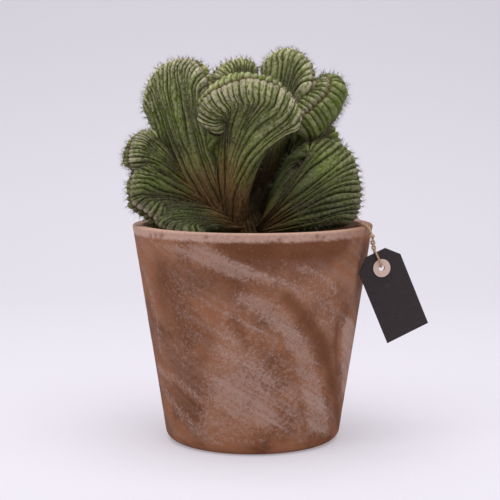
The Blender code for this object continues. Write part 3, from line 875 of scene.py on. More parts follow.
def lobe_body(lobe, shares, stations):
    """A lobe's smooth body, [column, row]: up its front face, over its crest and down behind it.

    Gives its points, their outward directions and each column's way from the nearer end, 0 to 1.
    """
    lines = (lobe.root, lobe.knee, lobe.fan, lobe.crest)
    root, knee, fan, crest = (spline(line, shares)[:, None] for line in lines)
    spread = crest + CREST_SPREAD * (fan - crest)
    t = stations[None, :, None]
    sheet = (
        (1 - t) ** 3 * root
        + 3 * t * (1 - t) ** 2 * knee
        + 3 * t**2 * (1 - t) * spread
        + t**3 * crest
    )
    growth = unit(
        3 * (1 - t) ** 2 * (knee - root)
        + 6 * t * (1 - t) * (spread - knee)
        + 3 * t**2 * (crest - spread)
    )
    across = unit(np.cross(np.gradient(sheet, shares, axis=0), growth))
    along = lengths_along(sheet[:, -1])
    from_end = np.clip(np.minimum(along, along[-1] - along) / lobe.half, 0, 1)[:, None]
    taper = quarter_round(from_end)[..., None]

    half_turns = np.linspace(-1, 1, CAP_STEPS + 1)
    angles = math.pi / 2 * (1 + np.sign(half_turns) * np.abs(half_turns) ** 1.5)
    over = np.cos(angles)[None, :, None] * across[:, -1:]
    over = over + np.sin(angles)[None, :, None] * growth[:, -1:]
    thick = lobe.half * (FOOT_THICKNESS + (1 - FOOT_THICKNESS) * t) * taper
    front = sheet + thick * across
    back = (sheet - thick * across)[:, ::-1]
    base = np.concatenate([front[:, :-1], crest + lobe.half * taper * over, back[:, 1:]], axis=1)
    outward = np.concatenate([across[:, :-1], over, -across[:, ::-1][:, 1:]], axis=1)
    return base, outward, from_end


def areoles_on(points, outward, ribs, seam, values, young):
    """The areoles along the ridges of both faces: each one's place, direction and how young it is."""
    normals = unit(np.cross(np.gradient(points, axis=0), np.gradient(points, axis=1)))
    if np.sum(normals * outward) < 0:
        normals = -normals
    found = []
    for side, rows in enumerate((np.arange(seam + 1), np.arange(seam + 1, points.shape[1]))):
        for rib in range(ribs - side):
            middle = rib + 0.5 + 0.5 * side
            columns = np.abs(values["across"][:, rows] - middle).argmin(axis=0)
            turns = np.floor(values["areole"][columns, rows])
            for at in np.flatnonzero(np.diff(turns)) + 1:
                spot = columns[at], rows[at]
                if values["grown"][rows[at]] > SPINES_FROM:
                    found.append((points[spot], normals[spot], young[spot]))
    return found


def make_lobe(name, lobe, plant, skin):
    """One crest: two ribbed faces that meet in a furrow. Returns its object and its areoles."""
    draw = random.Random(f"{name} {plant.seed}")
    shares = lobe_columns(lobe.ribs)
    steps = shares * lobe.ribs
    stations = 1 - (1 - np.linspace(0, 1, FACE_ROWS)) ** ROW_CROWDING
    base, outward, from_end = lobe_body(lobe, shares, stations)
    taper = quarter_round(from_end)
    grown = np.concatenate([stations[:-1], np.ones(CAP_STEPS + 1), stations[::-1][1:]])
    seam = FACE_ROWS - 1 + CAP_STEPS // 2

    phase = draw.random()
    front_depth, front_width = rib_relief(steps, grown[: seam + 1], lobe.ribs, 0, phase, draw)
    back_depth, back_width = rib_relief(steps, grown[seam + 1:], lobe.ribs, 0.5, phase, draw)
    valley = np.concatenate([front_depth, back_depth], axis=1)
    ridge = 1 - valley
    width = np.concatenate([front_width, back_width], axis=1)
    spacing = np.linalg.norm(np.gradient(base, steps, axis=0), axis=-1) * width
    depth = np.minimum(DEPTH_OF_SPACING * spacing, plant.deepest_valley / MM)

    run = np.linalg.norm(np.diff(base, axis=1), axis=-1)
    reach = np.concatenate([np.zeros((len(steps), 1)), np.cumsum(run, axis=1)], axis=1)
    from_furrow = reach - reach[:, seam: seam + 1]
    furrow = hill(from_furrow, FURROW_WIDTH) * from_end
    tip = hill(from_furrow + TIP_FROM_FURROW, TIP_WIDTH) * from_end
    beyond = np.arange(valley.shape[1]) > seam
    swayed = steps[:, None] - drift(steps[:, None], grown[None], lobe.ribs, phase)
    rib = np.clip(np.floor(swayed + 0.5 * beyond), 0, lobe.ribs).astype(int)
    rib_draw = np.array([[draw.random() for _ in range(2)] for _ in range(lobe.ribs + 2)])
    start, tone = rib_draw[rib, 0], rib_draw[rib, 1]
    areole_step = plant.areole_step / MM
    areole = np.abs(from_furrow) / areole_step + start
    bead = (np.cos(2 * math.pi * areole) * 0.5 + 0.5) * ridge**3 * np.clip((grown - 0.3) * 3, 0, 1)
    relief = (
        -depth * valley
        - plant.furrow / MM * furrow
        + TIP_HEIGHT * tip * ridge
        + BEAD_HEIGHT * bead
        + lumps(base, draw, LOBE_LUMPS) * taper
        + RIB_UNEVENNESS * (tone - 0.5) * ridge**2 * taper
    )
    points = (base + relief[..., None] * outward) * MM

    near_crest = np.exp(-np.abs(from_furrow) / CREST_REACH)
    fresh = np.where(beyond, lobe.fresh[1], lobe.fresh[0])
    fresh = fresh * (FRESH_AT_FOOT + (1 - FRESH_AT_FOOT) * near_crest)
    values = {"ridge": ridge, "furrow": hill(from_furrow, FELT_WIDTH), "tip": tip, "tone": tone}
    values |= {"near_crest": near_crest, "grown": grown, "areole": areole, "fresh": fresh}
    grey = lobe.grey * np.where(beyond, GREY_BEYOND, 1)
    values |= {"grey": grey, "across": swayed, "run": from_furrow}
    mesh = grid_mesh(name, points, wrap=True)
    add_values(mesh, valley.shape, values)
    close_up(mesh, MERGE)
    young = np.exp(-np.abs(from_furrow) / areole_step / 2)
    areoles = areoles_on(points, outward, lobe.ribs, seam, values, young)
    return new_object("lobe_" + name, mesh, skin), areoles


def on_ribs(finish, across, run, up):
    """Places for a pattern that follows the ribs, from its density across, along and up them."""
    density = {"X": ("across", across), "Y": ("run", run), "Z": ("grown", up)}
    inputs = {key: finish.attribute(name) * scale for key, (name, scale) in density.items()}
    return finish.node("ShaderNodeCombineXYZ", {}, inputs)


def skin_finish(plant):
    """Olive skin: creases darkened by painted shade over their own darker green, streaked and weathered
    ribs, felt in the furrow, cork at the stem, and painted shade low on the plant and in the hollow
    between the front lobes.
    """
    finish = Finish("cactus_skin", {"Specular IOR Level": 0.2})
    ridge = finish.attribute("ridge")
    near_crest = finish.attribute("near_crest")
    grown = finish.attribute("grown")
    broad = finish.noise(45, 3)
    fine = finish.noise(420, 5, 0.6)
    streak = finish.noise(1.0, 4, 0.6, 0.3, on_ribs(finish, 2.6, 0.16, 1))
    young = finish.attribute("fresh") * finish.band(streak, 0.25, 0.6)
    flank = finish.blend(young, plant.flank_green, plant.fresh_green)
    height = finish.height()
    # Painted shade low on the plant: the flanks darken towards deep green with height, mixed into random
    # darker patches.
    painted_low_shade = finish.band(height + 0.05 * (broad - 0.5), 0.245, 0.17)
    patch = finish.band(broad + 0.3 * (streak - 0.5), 0.4, 0.66) * 0.6 + 0.4 * painted_low_shade
    flank = finish.blend(patch, flank, plant.deep_green)
    # Painted shade in the creases: towards each valley's bottom the skin turns to the nearly black shade
    # green, over the skin's own darker green there.
    crease = finish.band(ridge + 0.5 * (fine - 0.5) + 0.35 * (streak - 0.5), 0.18, 0.96)
    felt = finish.band(fine + 0.3 * (streak - 0.5), 0.42, 0.62) * near_crest
    # The valley colour is the painted crease shade, with felt near the crest.
    valley = finish.blend(felt * 0.75, plant.shade_green, plant.cork)
    skin = finish.blend(crease, valley, flank)
    weather = finish.attribute("grey") * (0.22 + 1.0 * near_crest)
    weather = weather * finish.band(ridge + 0.6 * (fine - 0.5), 0.58, 1.0)
    weather = weather * finish.band(streak + 0.6 * (fine - 0.5), 0.34, 0.56)
    skin = finish.blend(weather, skin, plant.ridge_grey)
    pale_tip = finish.attribute("tip") * finish.band(ridge + 0.4 * (fine - 0.5), 0.3, 0.8)
    skin = finish.blend(pale_tip * 0.75, skin, plant.wool)
    phase = finish.attribute("areole")
    off = abs(phase.math("FRACT", phase + 0.5) - 0.5)
    areole = finish.band(off, 0.16, 0.05) * finish.band(ridge, 0.9, 0.99)
    areole = areole * finish.band(grown, 0.3, 0.5)
    skin = finish.blend(areole * finish.band(fine, 0.45, 0.6) * 0.35, skin, plant.wool)
    skin = finish.blend(finish.attribute("furrow") * 0.8, skin, plant.cork)
    old = finish.band(grown + 0.5 * (streak - 0.5), 0.52, 0.14)
    fibre = finish.noise(1.0, 5, 0.65, 0.5, on_ribs(finish, 8, 0.22, 3))
    bare = finish.band(fibre + 0.3 * (fine - 0.5), 0.44, 0.62)
    bark = finish.blend(bare, plant.cork, plant.pale_cork)
    shown = old * finish.band(ridge + 0.4 * (fibre - 0.5), 0.2, 0.8) * 0.9
    skin = finish.blend(shown, skin, bark)
    tone = finish.attribute("tone")
    skin = finish.blend(finish.band(tone + 0.4 * fine, 0.9, 0.2) * 0.4, skin, plant.deep_green)
    # Painted shade over the lower plant, strongest away from the crests.
    low = finish.band(height + 0.03 * (broad - 0.5), 0.238, 0.165) * finish.band(near_crest, 1.6, 0.2)
    skin = finish.blend(low * 0.5, skin, plant.shade_green)
    # Painted shade in the hollow between the front lobes, round an upright line through HOLLOW_MIDDLE
    # and below their crests.
    painted_hollow_shade = finish.band(finish.off_upright(HOLLOW_MIDDLE), 0.044, 0.022)
    painted_hollow_shade = painted_hollow_shade * finish.band(height, 0.252, 0.226)
    skin = finish.blend(painted_hollow_shade * 0.7, skin, plant.shade_green)
    grain = fine * 0.5 + finish.noise(1500, 3) * 0.3 + streak * 0.6 + fibre * old * 1.2
    return finish.set(
        {
            "Base Color": skin,
            "Roughness": 0.5 + 0.25 * finish.band(ridge, 0.4, 1.0),
            "Normal": finish.bump(grain, 0.0004),
        }
    )


def make_stem(plant, skin):
    """The short stem: a woody neck with old ribs, which the lobes grow from."""
    draw = random.Random(plant.seed)
    columns = STEM_RIBS * STEM_COLUMNS_A_RIB
    steps = np.arange(columns) / STEM_COLUMNS_A_RIB
    turns = 2 * math.pi * steps / STEM_RIBS
    shares = np.linspace(0, 1, STEM_ROWS)
    middles = spline([middle for middle, _ in STEM_RINGS], shares)
    halves = spline([(*half, 1) for _, half in STEM_RINGS], shares)
    ring = np.stack([np.cos(turns), np.sin(turns), np.zeros(columns)], axis=1)
    base = middles[:, None] + ring[None] * halves[:, None]
    wander = 0.15 * np.sin(base[..., 2] / 7 + 3 * turns[None])
    away = np.abs((steps[None] + wander + 0.5) % 1 - 0.5)
    ridge = quarter_round(2 * away)
    relief = STEM_RIB_DEPTH * (ridge - 1) + lumps(base, draw, STEM_LUMPS)
    points = (base + relief[..., None] * ring[None]) * MM
    mesh = grid_mesh("stem", points, wrap=True)
    values = dict.fromkeys(("near_crest", "furrow", "tip", "fresh", "grey"), 0)
    values |= {"ridge": ridge, "grown": 0.12, "areole": 0.5, "tone": 0.5}
    values |= {"across": steps[None] + wander, "run": base[..., 2]}
    add_values(mesh, points.shape[:2], values)
    close_ends(mesh, points.shape[:2])
    return new_object("stem", mesh, skin)


class GeometryTree:
    """A Geometry Nodes tree with one geometry in and out, named inputs and a fixed seed."""

    def __init__(self, name, inputs):
        self.group = bpy.data.node_groups.new(name, "GeometryNodeTree")
        face = self.group.interface
        face.new_socket("Geometry", in_out="INPUT", socket_type="NodeSocketGeometry")
        face.new_socket("Geometry", in_out="OUTPUT", socket_type="NodeSocketGeometry")
        self.identifiers = {}
        for label, kind in inputs.items():
            socket = face.new_socket(label, in_out="INPUT", socket_type=kind)
            self.identifiers[label] = socket.identifier
        self.start = self.group.nodes.new("NodeGroupInput")
        self.end = self.group.nodes.new("NodeGroupOutput")

    def given(self, label):
        return self.start.outputs[label]

    def node(self, kind, settings, inputs, output=0):
        """Adds a node: its settings first, then the values or links of its sockets."""
        made = self.group.nodes.new(kind)
        for name, value in settings.items():
            setattr(made, name, value)
        for key, value in inputs.items():
            if isinstance(value, bpy.types.NodeSocket):
                self.group.links.new(value, made.inputs[key])
            else:
                made.inputs[key].default_value = value
        return made.outputs[output]

    def named(self, name, kind="FLOAT"):
        return self.node("GeometryNodeInputNamedAttribute", {"data_type": kind}, {"Name": name})

    def draw(self, low, high, seed):
        """A number between two others, drawn anew for each point."""
        inputs = {2: low, 3: high, "Seed": seed}
        return self.node("FunctionNodeRandomValue", {"data_type": "FLOAT"}, inputs, 1)

    def draw_vector(self, low, high, seed):
        inputs = {0: low, 1: high, "Seed": seed}
        return self.node("FunctionNodeRandomValue", {"data_type": "FLOAT_VECTOR"}, inputs)

    def add(self, a, b):
        return self.node("ShaderNodeVectorMath", {"operation": "ADD"}, {0: a, 1: b})

    def times(self, a, b):
        return self.node("ShaderNodeMath", {"operation": "MULTIPLY"}, {0: a, 1: b})

    def place_each(self, points, instance, rotation, scale, finish):
        """Ends the tree with an instance on each point, made real and given its finish."""
        inputs = {"Points": points, "Instance": instance, "Rotation": rotation, "Scale": scale}
        instances = self.node("GeometryNodeInstanceOnPoints", {}, inputs)
        real = self.node("GeometryNodeRealizeInstances", {}, {"Geometry": instances})
        dressed = self.node("GeometryNodeSetMaterial", {}, {"Geometry": real, "Material": finish})
        self.group.links.new(dressed, self.end.inputs["Geometry"])

    def bake(self, obj, values):
        """Runs the tree on an object and leaves the result as the object's plain mesh."""
        modifier = obj.modifiers.new(self.group.name, "NODES")
        modifier.node_group = self.group
        for label, value in values.items():
            modifier[self.identifiers[label]] = value
        settle(obj)
        return obj


def needle_tree(finish):
    """A tree that grows thin three-sided cones from points, each about its aim."""
    tree = GeometryTree(
        "needles",
        {"Length": "NodeSocketFloat", "Radius": "NodeSocketFloat", "Each": "NodeSocketInt"},
    )
    doubled = tree.node(
        "GeometryNodeDuplicateElements",
        {"domain": "POINT"},
        {"Geometry": tree.given("Geometry"), "Amount": tree.given("Each")},
    )
    cone = tree.node(
        "GeometryNodeMeshCone",
        {"fill_type": "NGON"},
        {"Vertices": 3, "Radius Top": 0.0, "Radius Bottom": tree.given("Radius"), "Depth": 1.0},
    )
    way = tree.draw_vector((-NEEDLE_SPREAD,) * 3, (NEEDLE_SPREAD,) * 3, 3)
    aim = tree.add(tree.named("aim", "FLOAT_VECTOR"), way)
    turn = tree.node("FunctionNodeAlignRotationToVector", {"axis": "Z"}, {"Vector": aim})
    size = tree.times(tree.given("Length"), tree.draw(0.45, 1.25, 5))
    size = tree.times(size, tree.named("room"))
    scale = tree.node("ShaderNodeCombineXYZ", {}, {"X": 1.0, "Y": 1.0, "Z": size})
    tree.place_each(doubled, cone, turn, scale, finish)
    return tree


def needles(name, places, aims, rooms, values, finish):
    """Fine needles at the given places, each near its aim and as long as its room allows."""
    mesh = bpy.data.meshes.new(name)
    mesh.from_pydata(np.asarray(places).tolist(), [], [])
    add_vectors(mesh, "aim", aims)
    add_values(mesh, len(places), {"room": rooms})
    obj = needle_tree(finish).bake(new_object(name, mesh), values)
    keep_inside(obj.data)
    return obj


def make_spines(areoles, plant, finish):
    """The spines of every areole, shorter on young ones near the furrow."""
    places, aims, young = zip(*areoles)
    rooms = [1 - YOUNG_SHORTER * age for age in young]
    values = {"Length": plant.spine_length, "Radius": plant.spine_radius, "Each": plant.spines_each}
    return needles("spines", places, aims, rooms, values, finish)


def keep_inside(mesh):
    """Holds a mesh's points close to the frame's box."""
    count = len(mesh.vertices)
    points = np.empty(count * 3, np.float32)
    mesh.vertices.foreach_get("co", points)
    points = points.reshape(-1, 3)
    low, high = (np.array(corner) for corner in CAD_BOX)
    points = np.clip(points, low - BEYOND_BOX, high + BEYOND_BOX)
    mesh.vertices.foreach_set("co", points.astype(np.float32).ravel())
    mesh.update()


def spine_finish(plant):
    """Dry spines, unevenly dark."""
    finish = Finish("spine", {"Roughness": 0.6})
    spots = finish.noise(300, 5, 0.6)
    dark = tuple(part * 0.7 for part in plant.spine)
    tone = finish.blend(finish.band(spots, 0.35, 0.65), dark, plant.spine)
    return finish.set({"Base Color": tone, "Normal": finish.bump(spots, 0.0002)})


class CACTUS_OT_plant(bpy.types.Operator):
    """Grows the stem, the crested lobes and their spines in place of the frame's cactus"""

    bl_idname = "cactus.plant"
    bl_label = "Grow the plant"

    def execute(self, context):
        plant = context.scene.cactus_plant
        skin = skin_finish(plant)
        areoles = []
        pieces = [make_stem(plant, skin)]
        for name, lobe in LOBES.items():
            obj, own = make_lobe(name, lobe, plant, skin)
            pieces.append(obj)
            areoles += own
        pieces.append(make_spines(areoles, plant, spine_finish(plant)))
        for piece in pieces:
            dress(piece, "cactus")
        return {"FINISHED"}


def tag_frame():
    """The tag's place: origin in its hole, +Y up its length, +Z out of its front face."""
    front = Vector((math.sin(TAG_TURN), -math.cos(TAG_TURN), 0))
    side = Vector((math.cos(TAG_TURN), math.sin(TAG_TURN), 0))
    up = math.cos(TAG_LEAN) * Vector((0, 0, 1)) - math.sin(TAG_LEAN) * side
    right = up.cross(front)
    turn = Matrix((right, up, front)).transposed().to_4x4()
    return Matrix.Translation(TAG_HOLE) @ turn


def twist_leg(phase):
    """One leg of the twisted stretch, from its top to its end over the tag's upper edge."""
    place = tag_frame()
    top, end = Vector(TWIST_TOP), place @ Vector((0, TWIST_END_ABOVE_HOLE, 0))
    along = (end - top).normalized()
    side = along.cross(place.to_3x3() @ Vector((0, 0, 1))).normalized()
    front = side.cross(along)
    steps = 8
    leg = []
    for k in range(steps + 1):
        turn = phase + 2 * math.pi * TWIST_TURNS * k / steps
        way = math.cos(turn) * front + math.sin(turn) * side
        leg.append(top.lerp(end, k / steps) + TWIST_RADIUS * way)
    return leg


def loop_through_eyelet():
    """The twine's loop: down the card's front, through the eyelet's bore and up the card's back."""
    middle = LOOP_LOW + LOOP_RADIUS
    turns = [math.radians(90 - 30 * k) for k in range(7)]
    loop = [(middle - LOOP_RADIUS * math.cos(turn), LOOP_RADIUS * math.sin(turn)) for turn in turns]
    over_edge = (HOLE_FROM_TOP, LEG_FROM_CARD)
    between = ((middle + HOLE_FROM_TOP) / 2, (LOOP_RADIUS + LEG_FROM_CARD) / 2)
    front = [over_edge, between]
    back = [(height, -off) for height, off in reversed(front)]
    place = tag_frame()
    return [place @ Vector((0, height, off)) for height, off in front + loop + back]


def twine_points():
    """Points close together along the whole twine, from the soil to its end in the knot."""
    down, up = twist_leg(0), twist_leg(math.pi)[1:]
    route = [Vector(p) for p in ROUTE_OVER_RIM] + down + loop_through_eyelet() + up[::-1]
    route = np.array([tuple(p) for p in route])
    return spline(route, np.linspace(0, 1, round(lengths_along(route)[-1] / TWINE_STEP)))


def knot_coil():
    """Points along the cord's end, wound round its standing part between the rim and the twist."""
    above, below = Vector(ROUTE_OVER_RIM[-1]), twist_leg(0)[0]
    turn = (above - below).to_track_quat("Z", "Y").to_matrix().to_4x4()
    place = Matrix.Translation(above.lerp(below, KNOT_ALONG)) @ turn
    rise = KNOT_HEIGHT - 2 * KNOT_END_ROOM
    coil = []
    for part in np.linspace(0, 1, KNOT_POINTS):
        angle = 2 * math.pi * KNOT_TURNS * part
        x, y = KNOT_TURN_RADIUS * math.cos(angle), KNOT_TURN_RADIUS * math.sin(angle)
        coil.append(tuple(place @ Vector((x, y, (part - 0.5) * rise))))
    return np.array(coil)


def stray_fibres(line, twine, jute):
    """Short fibres that stand off the cord, each from a point drawn on its surface."""
    draw = np.random.default_rng(FIBRE_SEED)
    picks = draw.integers(0, len(line) - 1, twine.fibres)
    ways = unit(np.gradient(line, axis=0))[picks]
    outward = unit(np.cross(ways, draw.normal(size=ways.shape)))
    roots = line[picks] + 0.7 * twine.radius * outward
    values = {"Length": twine.fibre_length, "Radius": FIBRE_RADIUS, "Each": 1}
    return needles("twine_fibres", roots, outward + 0.8 * ways, [1.0] * len(roots), values, jute)


def sweep(name, line, radius, lay, finish, sides=20):
    """A two-ply cord along a line of points, with the plies' twist in its surface."""
    ways = unit(np.gradient(line, axis=0))
    side = unit(np.cross(ways[0], (0.3, 0.2, 1.0)))
    reach = lengths_along(line)
    turns = 2 * math.pi * np.arange(sides) / sides
    across, up = np.cos(turns)[:, None], np.sin(turns)[:, None]
    rings, plies = [], []
    for k, (place, way) in enumerate(zip(line, ways)):
        side = unit(side - way * (side @ way))
        ply = np.abs(np.cos(turns - 2 * math.pi * reach[k] / lay))
        from_end = min(k, len(line) - 1 - k)
        round_off = min(1.0, math.sqrt(max(0.02, from_end / 2)))
        size = radius * (PLY_WAIST + (1 - PLY_WAIST) * np.sqrt(ply)) * round_off
        rings.append(place + size[:, None] * (across * side + up * np.cross(way, side)))
        plies.append(ply)
    points = np.stack(rings)
    mesh = grid_mesh(name, points, wrap=True)
    add_values(mesh, points.shape[:2], {"ply": np.stack(plies)})
    close_ends(mesh, points.shape[:2])
    return new_object(name, mesh, finish)


def jute_finish(twine):
    """Jute: pale fibres on top of each ply, and painted shade in the grooves between the plies."""
    finish = Finish("jute", {"Roughness": 0.9, "Sheen Weight": 0.2})
    ply = finish.attribute("ply")
    fibres = finish.noise(2600, 4, 0.6, 0.4)
    tone = finish.blend(finish.band(ply + 0.4 * (fibres - 0.5), 0.1, 0.7), twine.shade, twine.jute)
    return finish.set({"Base Color": tone, "Normal": finish.bump(fibres, 0.0002)})


class CACTUS_OT_twine(bpy.types.Operator):
    """Lays the jute twine over the rim and through the tag's ring, with its wrapped knot"""

    bl_idname = "cactus.twine"
    bl_label = "Lay the twine"

    def execute(self, context):
        twine = context.scene.cactus_twine
        jute = jute_finish(twine)
        points = twine_points()
        line = spline(points, np.linspace(0, 1, 4 * len(points)))
        cord = sweep("twine_cord", line, twine.radius, twine.lay, jute)
        wrap = sweep("twine_wrap", knot_coil(), KNOT_CORD_RADIUS, twine.lay, jute, 12)
        fibres = stray_fibres(line, twine, jute)
        dress(cord, "twine")
        dress(fibres, "twine")
        dress(wrap, "knot")
        return {"FINISHED"}


def arc(middle, radius, start, end, steps):
    """Points (radius, height) on an arc round middle, angles in degrees from +X."""
    turns = [math.radians(start + (end - start) * k / steps) for k in range(steps + 1)]
    return [(middle[0] + radius * math.cos(a), middle[1] + radius * math.sin(a)) for a in turns]


def pot_profile():
    """The pot's section (radius, height): out from the middle underneath, up, and down inside."""
    def wall(z):
        return FOOT_RADIUS + (RIM_RADIUS - FOOT_RADIUS) * z / POT_HEIGHT

    lean = math.degrees(math.atan2(RIM_RADIUS - FOOT_RADIUS, POT_HEIGHT))
    turn_in = FOOT_ROUNDING * math.tan(math.radians((90 - lean) / 2))
    foot = (FOOT_RADIUS - turn_in, FOOT_ROUNDING)
    section = [(r, 0) for r in np.linspace(POT_MIDDLE, foot[0], BASE_ROWS + 1)[:-1]]
    section += arc(foot, FOOT_ROUNDING, -90, -lean, FOOT_STEPS)
    low = section[-1][1]
    rim_low = POT_HEIGHT - 2 * RIM_ROUNDING
    section += [(wall(z), z) for z in np.linspace(low, rim_low, WALL_ROWS + 1)[1:]]
    edge = RIM_ROUNDING
    section += arc((wall(POT_HEIGHT - edge) - edge, POT_HEIGHT - edge), edge, -lean, 90, 7)
    inner_rim = RIM_RADIUS - WALL
    section += arc((inner_rim + edge, POT_HEIGHT - edge), edge, 90, 180, 7)
    corner = (wall(FLOOR) - WALL - FLOOR_ROUNDING, FLOOR + FLOOR_ROUNDING)
    section += [(wall(z) - WALL, z) for z in np.linspace(POT_HEIGHT - 2 * edge, corner[1], 30)]
    section += arc(corner, FLOOR_ROUNDING, 0, -90, 6)[1:]
    section += [(r, FLOOR) for r in np.linspace(corner[0], POT_MIDDLE, 12)[1:]]
    return np.array(section)


def mark_field(marks, degrees, heights):
    """How strongly a set of marks covers each point of the wall, 0 to 1."""
    cover = np.zeros(degrees.shape)
    for mark in marks:
        line = np.array(mark.points, float)
        middle = line[:, 0].mean()
        round_from = (degrees - middle + 180) % 360 - 180
        at = np.stack([round_from * MM_A_DEGREE, heights], axis=-1)
        line[:, 0] = (line[:, 0] - middle) * MM_A_DEGREE
        ends = np.roll(line, -1, axis=0) if mark.width == 0 else line[1:]
        nearest = np.full(degrees.shape, 1e9)
        inside = np.zeros(degrees.shape, bool)
        for start, end in zip(line, ends):
            edge = end - start
            part = np.clip(((at - start) @ edge) / (edge @ edge), 0, 1)
            away = np.linalg.norm(at - start - part[..., None] * edge, axis=-1)
            nearest = np.minimum(nearest, away)
            if mark.width == 0 and start[1] != end[1]:
                crosses = (start[1] > heights) != (end[1] > heights)
                edge_at = start[0] + edge[0] * (heights - start[1]) / edge[1]
                inside ^= crosses & (at[..., 0] < edge_at)
        depth = np.where(inside, nearest, mark.width - nearest)
        cover = np.maximum(cover, mark.strength * np.clip(depth / mark.soft + COVER_AT_EDGE, 0, 1))
    return cover


def make_pot(pot, clay):
    """The turned pot with its drain holes, and where lime bloom, bare clay and pits lie on it."""
    draw = random.Random(POT_SEED)
    section = pot_profile()
    degrees = np.arange(POT_COLUMNS) * 360 / POT_COLUMNS - 180
    turns = np.radians(degrees)
    ring = np.stack([np.sin(turns), -np.cos(turns), np.zeros(POT_COLUMNS)], axis=1)
    points = section[:, 0, None, None] * ring[None]
    points[..., 2] = section[:, 1, None]
    shape = points.shape[:2]
    first = BASE_ROWS + FOOT_STEPS + 1
    outer = np.zeros((len(section), 1))
    outer[first: first + WALL_ROWS + LIP_ROWS] = 1
    heights = np.broadcast_to(section[:, 1, None] / MM, shape)
    around = np.broadcast_to(degrees[None], shape)
    wave = lumps(points / MM, draw, WALL_LUMPS)
    pit = np.zeros(shape)
    for degree, height in PITS:
        off = np.hypot((around - degree) * MM_A_DEGREE, heights - height)
        pit = np.maximum(pit, hill(off, PIT_RADIUS) * outer)
    uneven = np.interp(heights, (*UNEVEN_FROM, *UNEVEN_TO), (0, 1, 1, 0))
    hollow = np.clip(0.5 - 0.5 * wave, 0, 1) * outer * uneven
    inward = pot.waviness * hollow + PIT_DEPTH * pit
    points = points - inward[..., None] * ring[None]
    mesh = grid_mesh("pot_clay", points, wrap=True)
    values = {"lime": mark_field(LIME_MARKS, around, heights) * outer}
    values |= {"bare": mark_field(BARE_MARKS, around, heights) * outer, "pit": pit, "outer": outer}
    values |= {"rim": 1 - RIM_THIN * hill(around - RIM_THIN_AT, RIM_THIN_WIDTH)}
    add_values(mesh, shape, values)
    swirl = np.radians(around) + SMEAR_TURN * heights
    way = np.stack([np.cos(swirl), np.sin(swirl), heights * SMEAR_RISE], axis=-1)
    add_vectors(mesh, "swirl", way)
    close_ends(mesh, shape)
    obj = new_object("pot_clay", mesh)
    for k in range(DRAIN_COUNT):
        turn = 2 * math.pi * k / DRAIN_COUNT + math.pi / 2
        drill(obj, (DRAIN_CIRCLE * math.cos(turn), DRAIN_CIRCLE * math.sin(turn), FLOOR / 2))
    obj.data.materials.clear()
    obj.data.materials.append(clay)
    obj.data.shade_smooth()
    obj.data.set_sharp_from_angle(angle=math.radians(50))
    return obj


def drill(obj, spot):
    """Cuts a drain hole through the floor at spot."""
    mesh = bpy.data.meshes.new("drain")
    with opened(mesh) as shape:
        bmesh.ops.create_cone(
            shape, segments=DRAIN_SIDES, radius1=DRAIN_RADIUS, radius2=DRAIN_RADIUS, depth=3 * FLOOR,
            cap_ends=True, matrix=Matrix.Translation(spot),
        )
    cutter = new_object("drain", mesh)
    hole = obj.modifiers.new("drain", "BOOLEAN")
    hole.operation = "DIFFERENCE"
    hole.object = cutter
    settle(obj)
    bpy.data.objects.remove(cutter)


def clay_finish(pot):
    """Terracotta: bare brown clay, lime bloom smeared over it, and a dusty pink rim."""
    finish = Finish("terracotta", {"Roughness": 0.9, "Specular IOR Level": 0.2})
    swirl = finish.node("ShaderNodeAttribute", {"attribute_name": "swirl"}, {}, "Vector")
    streak = finish.noise(5, 5, 0.6, 0.4, swirl)
    fine_streak = finish.noise(15, 5, 0.65, 0.4, swirl)
    broad = finish.noise(28, 3)
    mottle = finish.noise(380, 6, 0.75, 0.3)
    speckle = finish.noise(900, 3, 0.7)
    bare = finish.attribute("bare")
    uneven = finish.band(broad + 0.5 * (streak - 0.5), 0.35, 0.7)
    clay = finish.blend(uneven, pot.clay, pot.dark_clay)
    clay = finish.blend(bare * 0.75, clay, pot.dark_clay)
    lime = finish.attribute("lime") * (1 - 0.7 * bare) * (0.18 + 0.7 * streak + 0.7 * fine_streak)
    lime = lime + 1.8 * (mottle - 0.5) + 1.3 * (speckle - 0.5)
    cover = finish.band(lime, 0.16, 0.8) * (0.75 + 0.7 * (fine_streak - 0.3))
    haze = finish.band(streak + 0.4 * (mottle - 0.5), 0.35, 0.75) * finish.attribute("outer") * 0.36
    clay = finish.blend(cover * pot.bloom + haze * (1 - bare), clay, pot.wash)
    dust = finish.band(speckle + 0.5 * (mottle - 0.5), 0.62, 0.78) * 0.3
    clay = finish.blend(dust, clay, pot.wash)
    height = finish.height()
    rim_low = height + 0.003 * (mottle - 0.5) + 0.005 * (fine_streak - 0.5)
    rim = finish.band(rim_low, *RIM_BLOOM) * finish.attribute("rim")
    rim = rim * (0.66 + 1.1 * (mottle - 0.45))
    clay = finish.blend(rim, clay, pot.rim)
    clay = finish.blend(finish.attribute("pit") * 0.7, clay, pot.dark_clay)
    # The clay darkens towards the foot.
    darker_foot = finish.band(height + 0.004 * (mottle - 0.5), DARKER_FOOT_HEIGHT, 0.0)
    clay = finish.blend(darker_foot * 0.6, clay, pot.dark_clay)
    grain = 0.4 * finish.noise(2200, 3, 0.6) + 0.4 * speckle + 0.3 * cover
    return finish.set({"Base Color": clay, "Normal": finish.bump(grain, 0.00018)})


class CACTUS_OT_pot(bpy.types.Operator):
    """Turns the fine clay pot that stands for the frame's pot"""

    bl_idname = "cactus.pot"
    bl_label = "Turn the pot"

    def execute(self, context):
        pot = context.scene.cactus_pot
        dress(make_pot(pot, clay_finish(pot)), "pot")
        return {"FINISHED"}


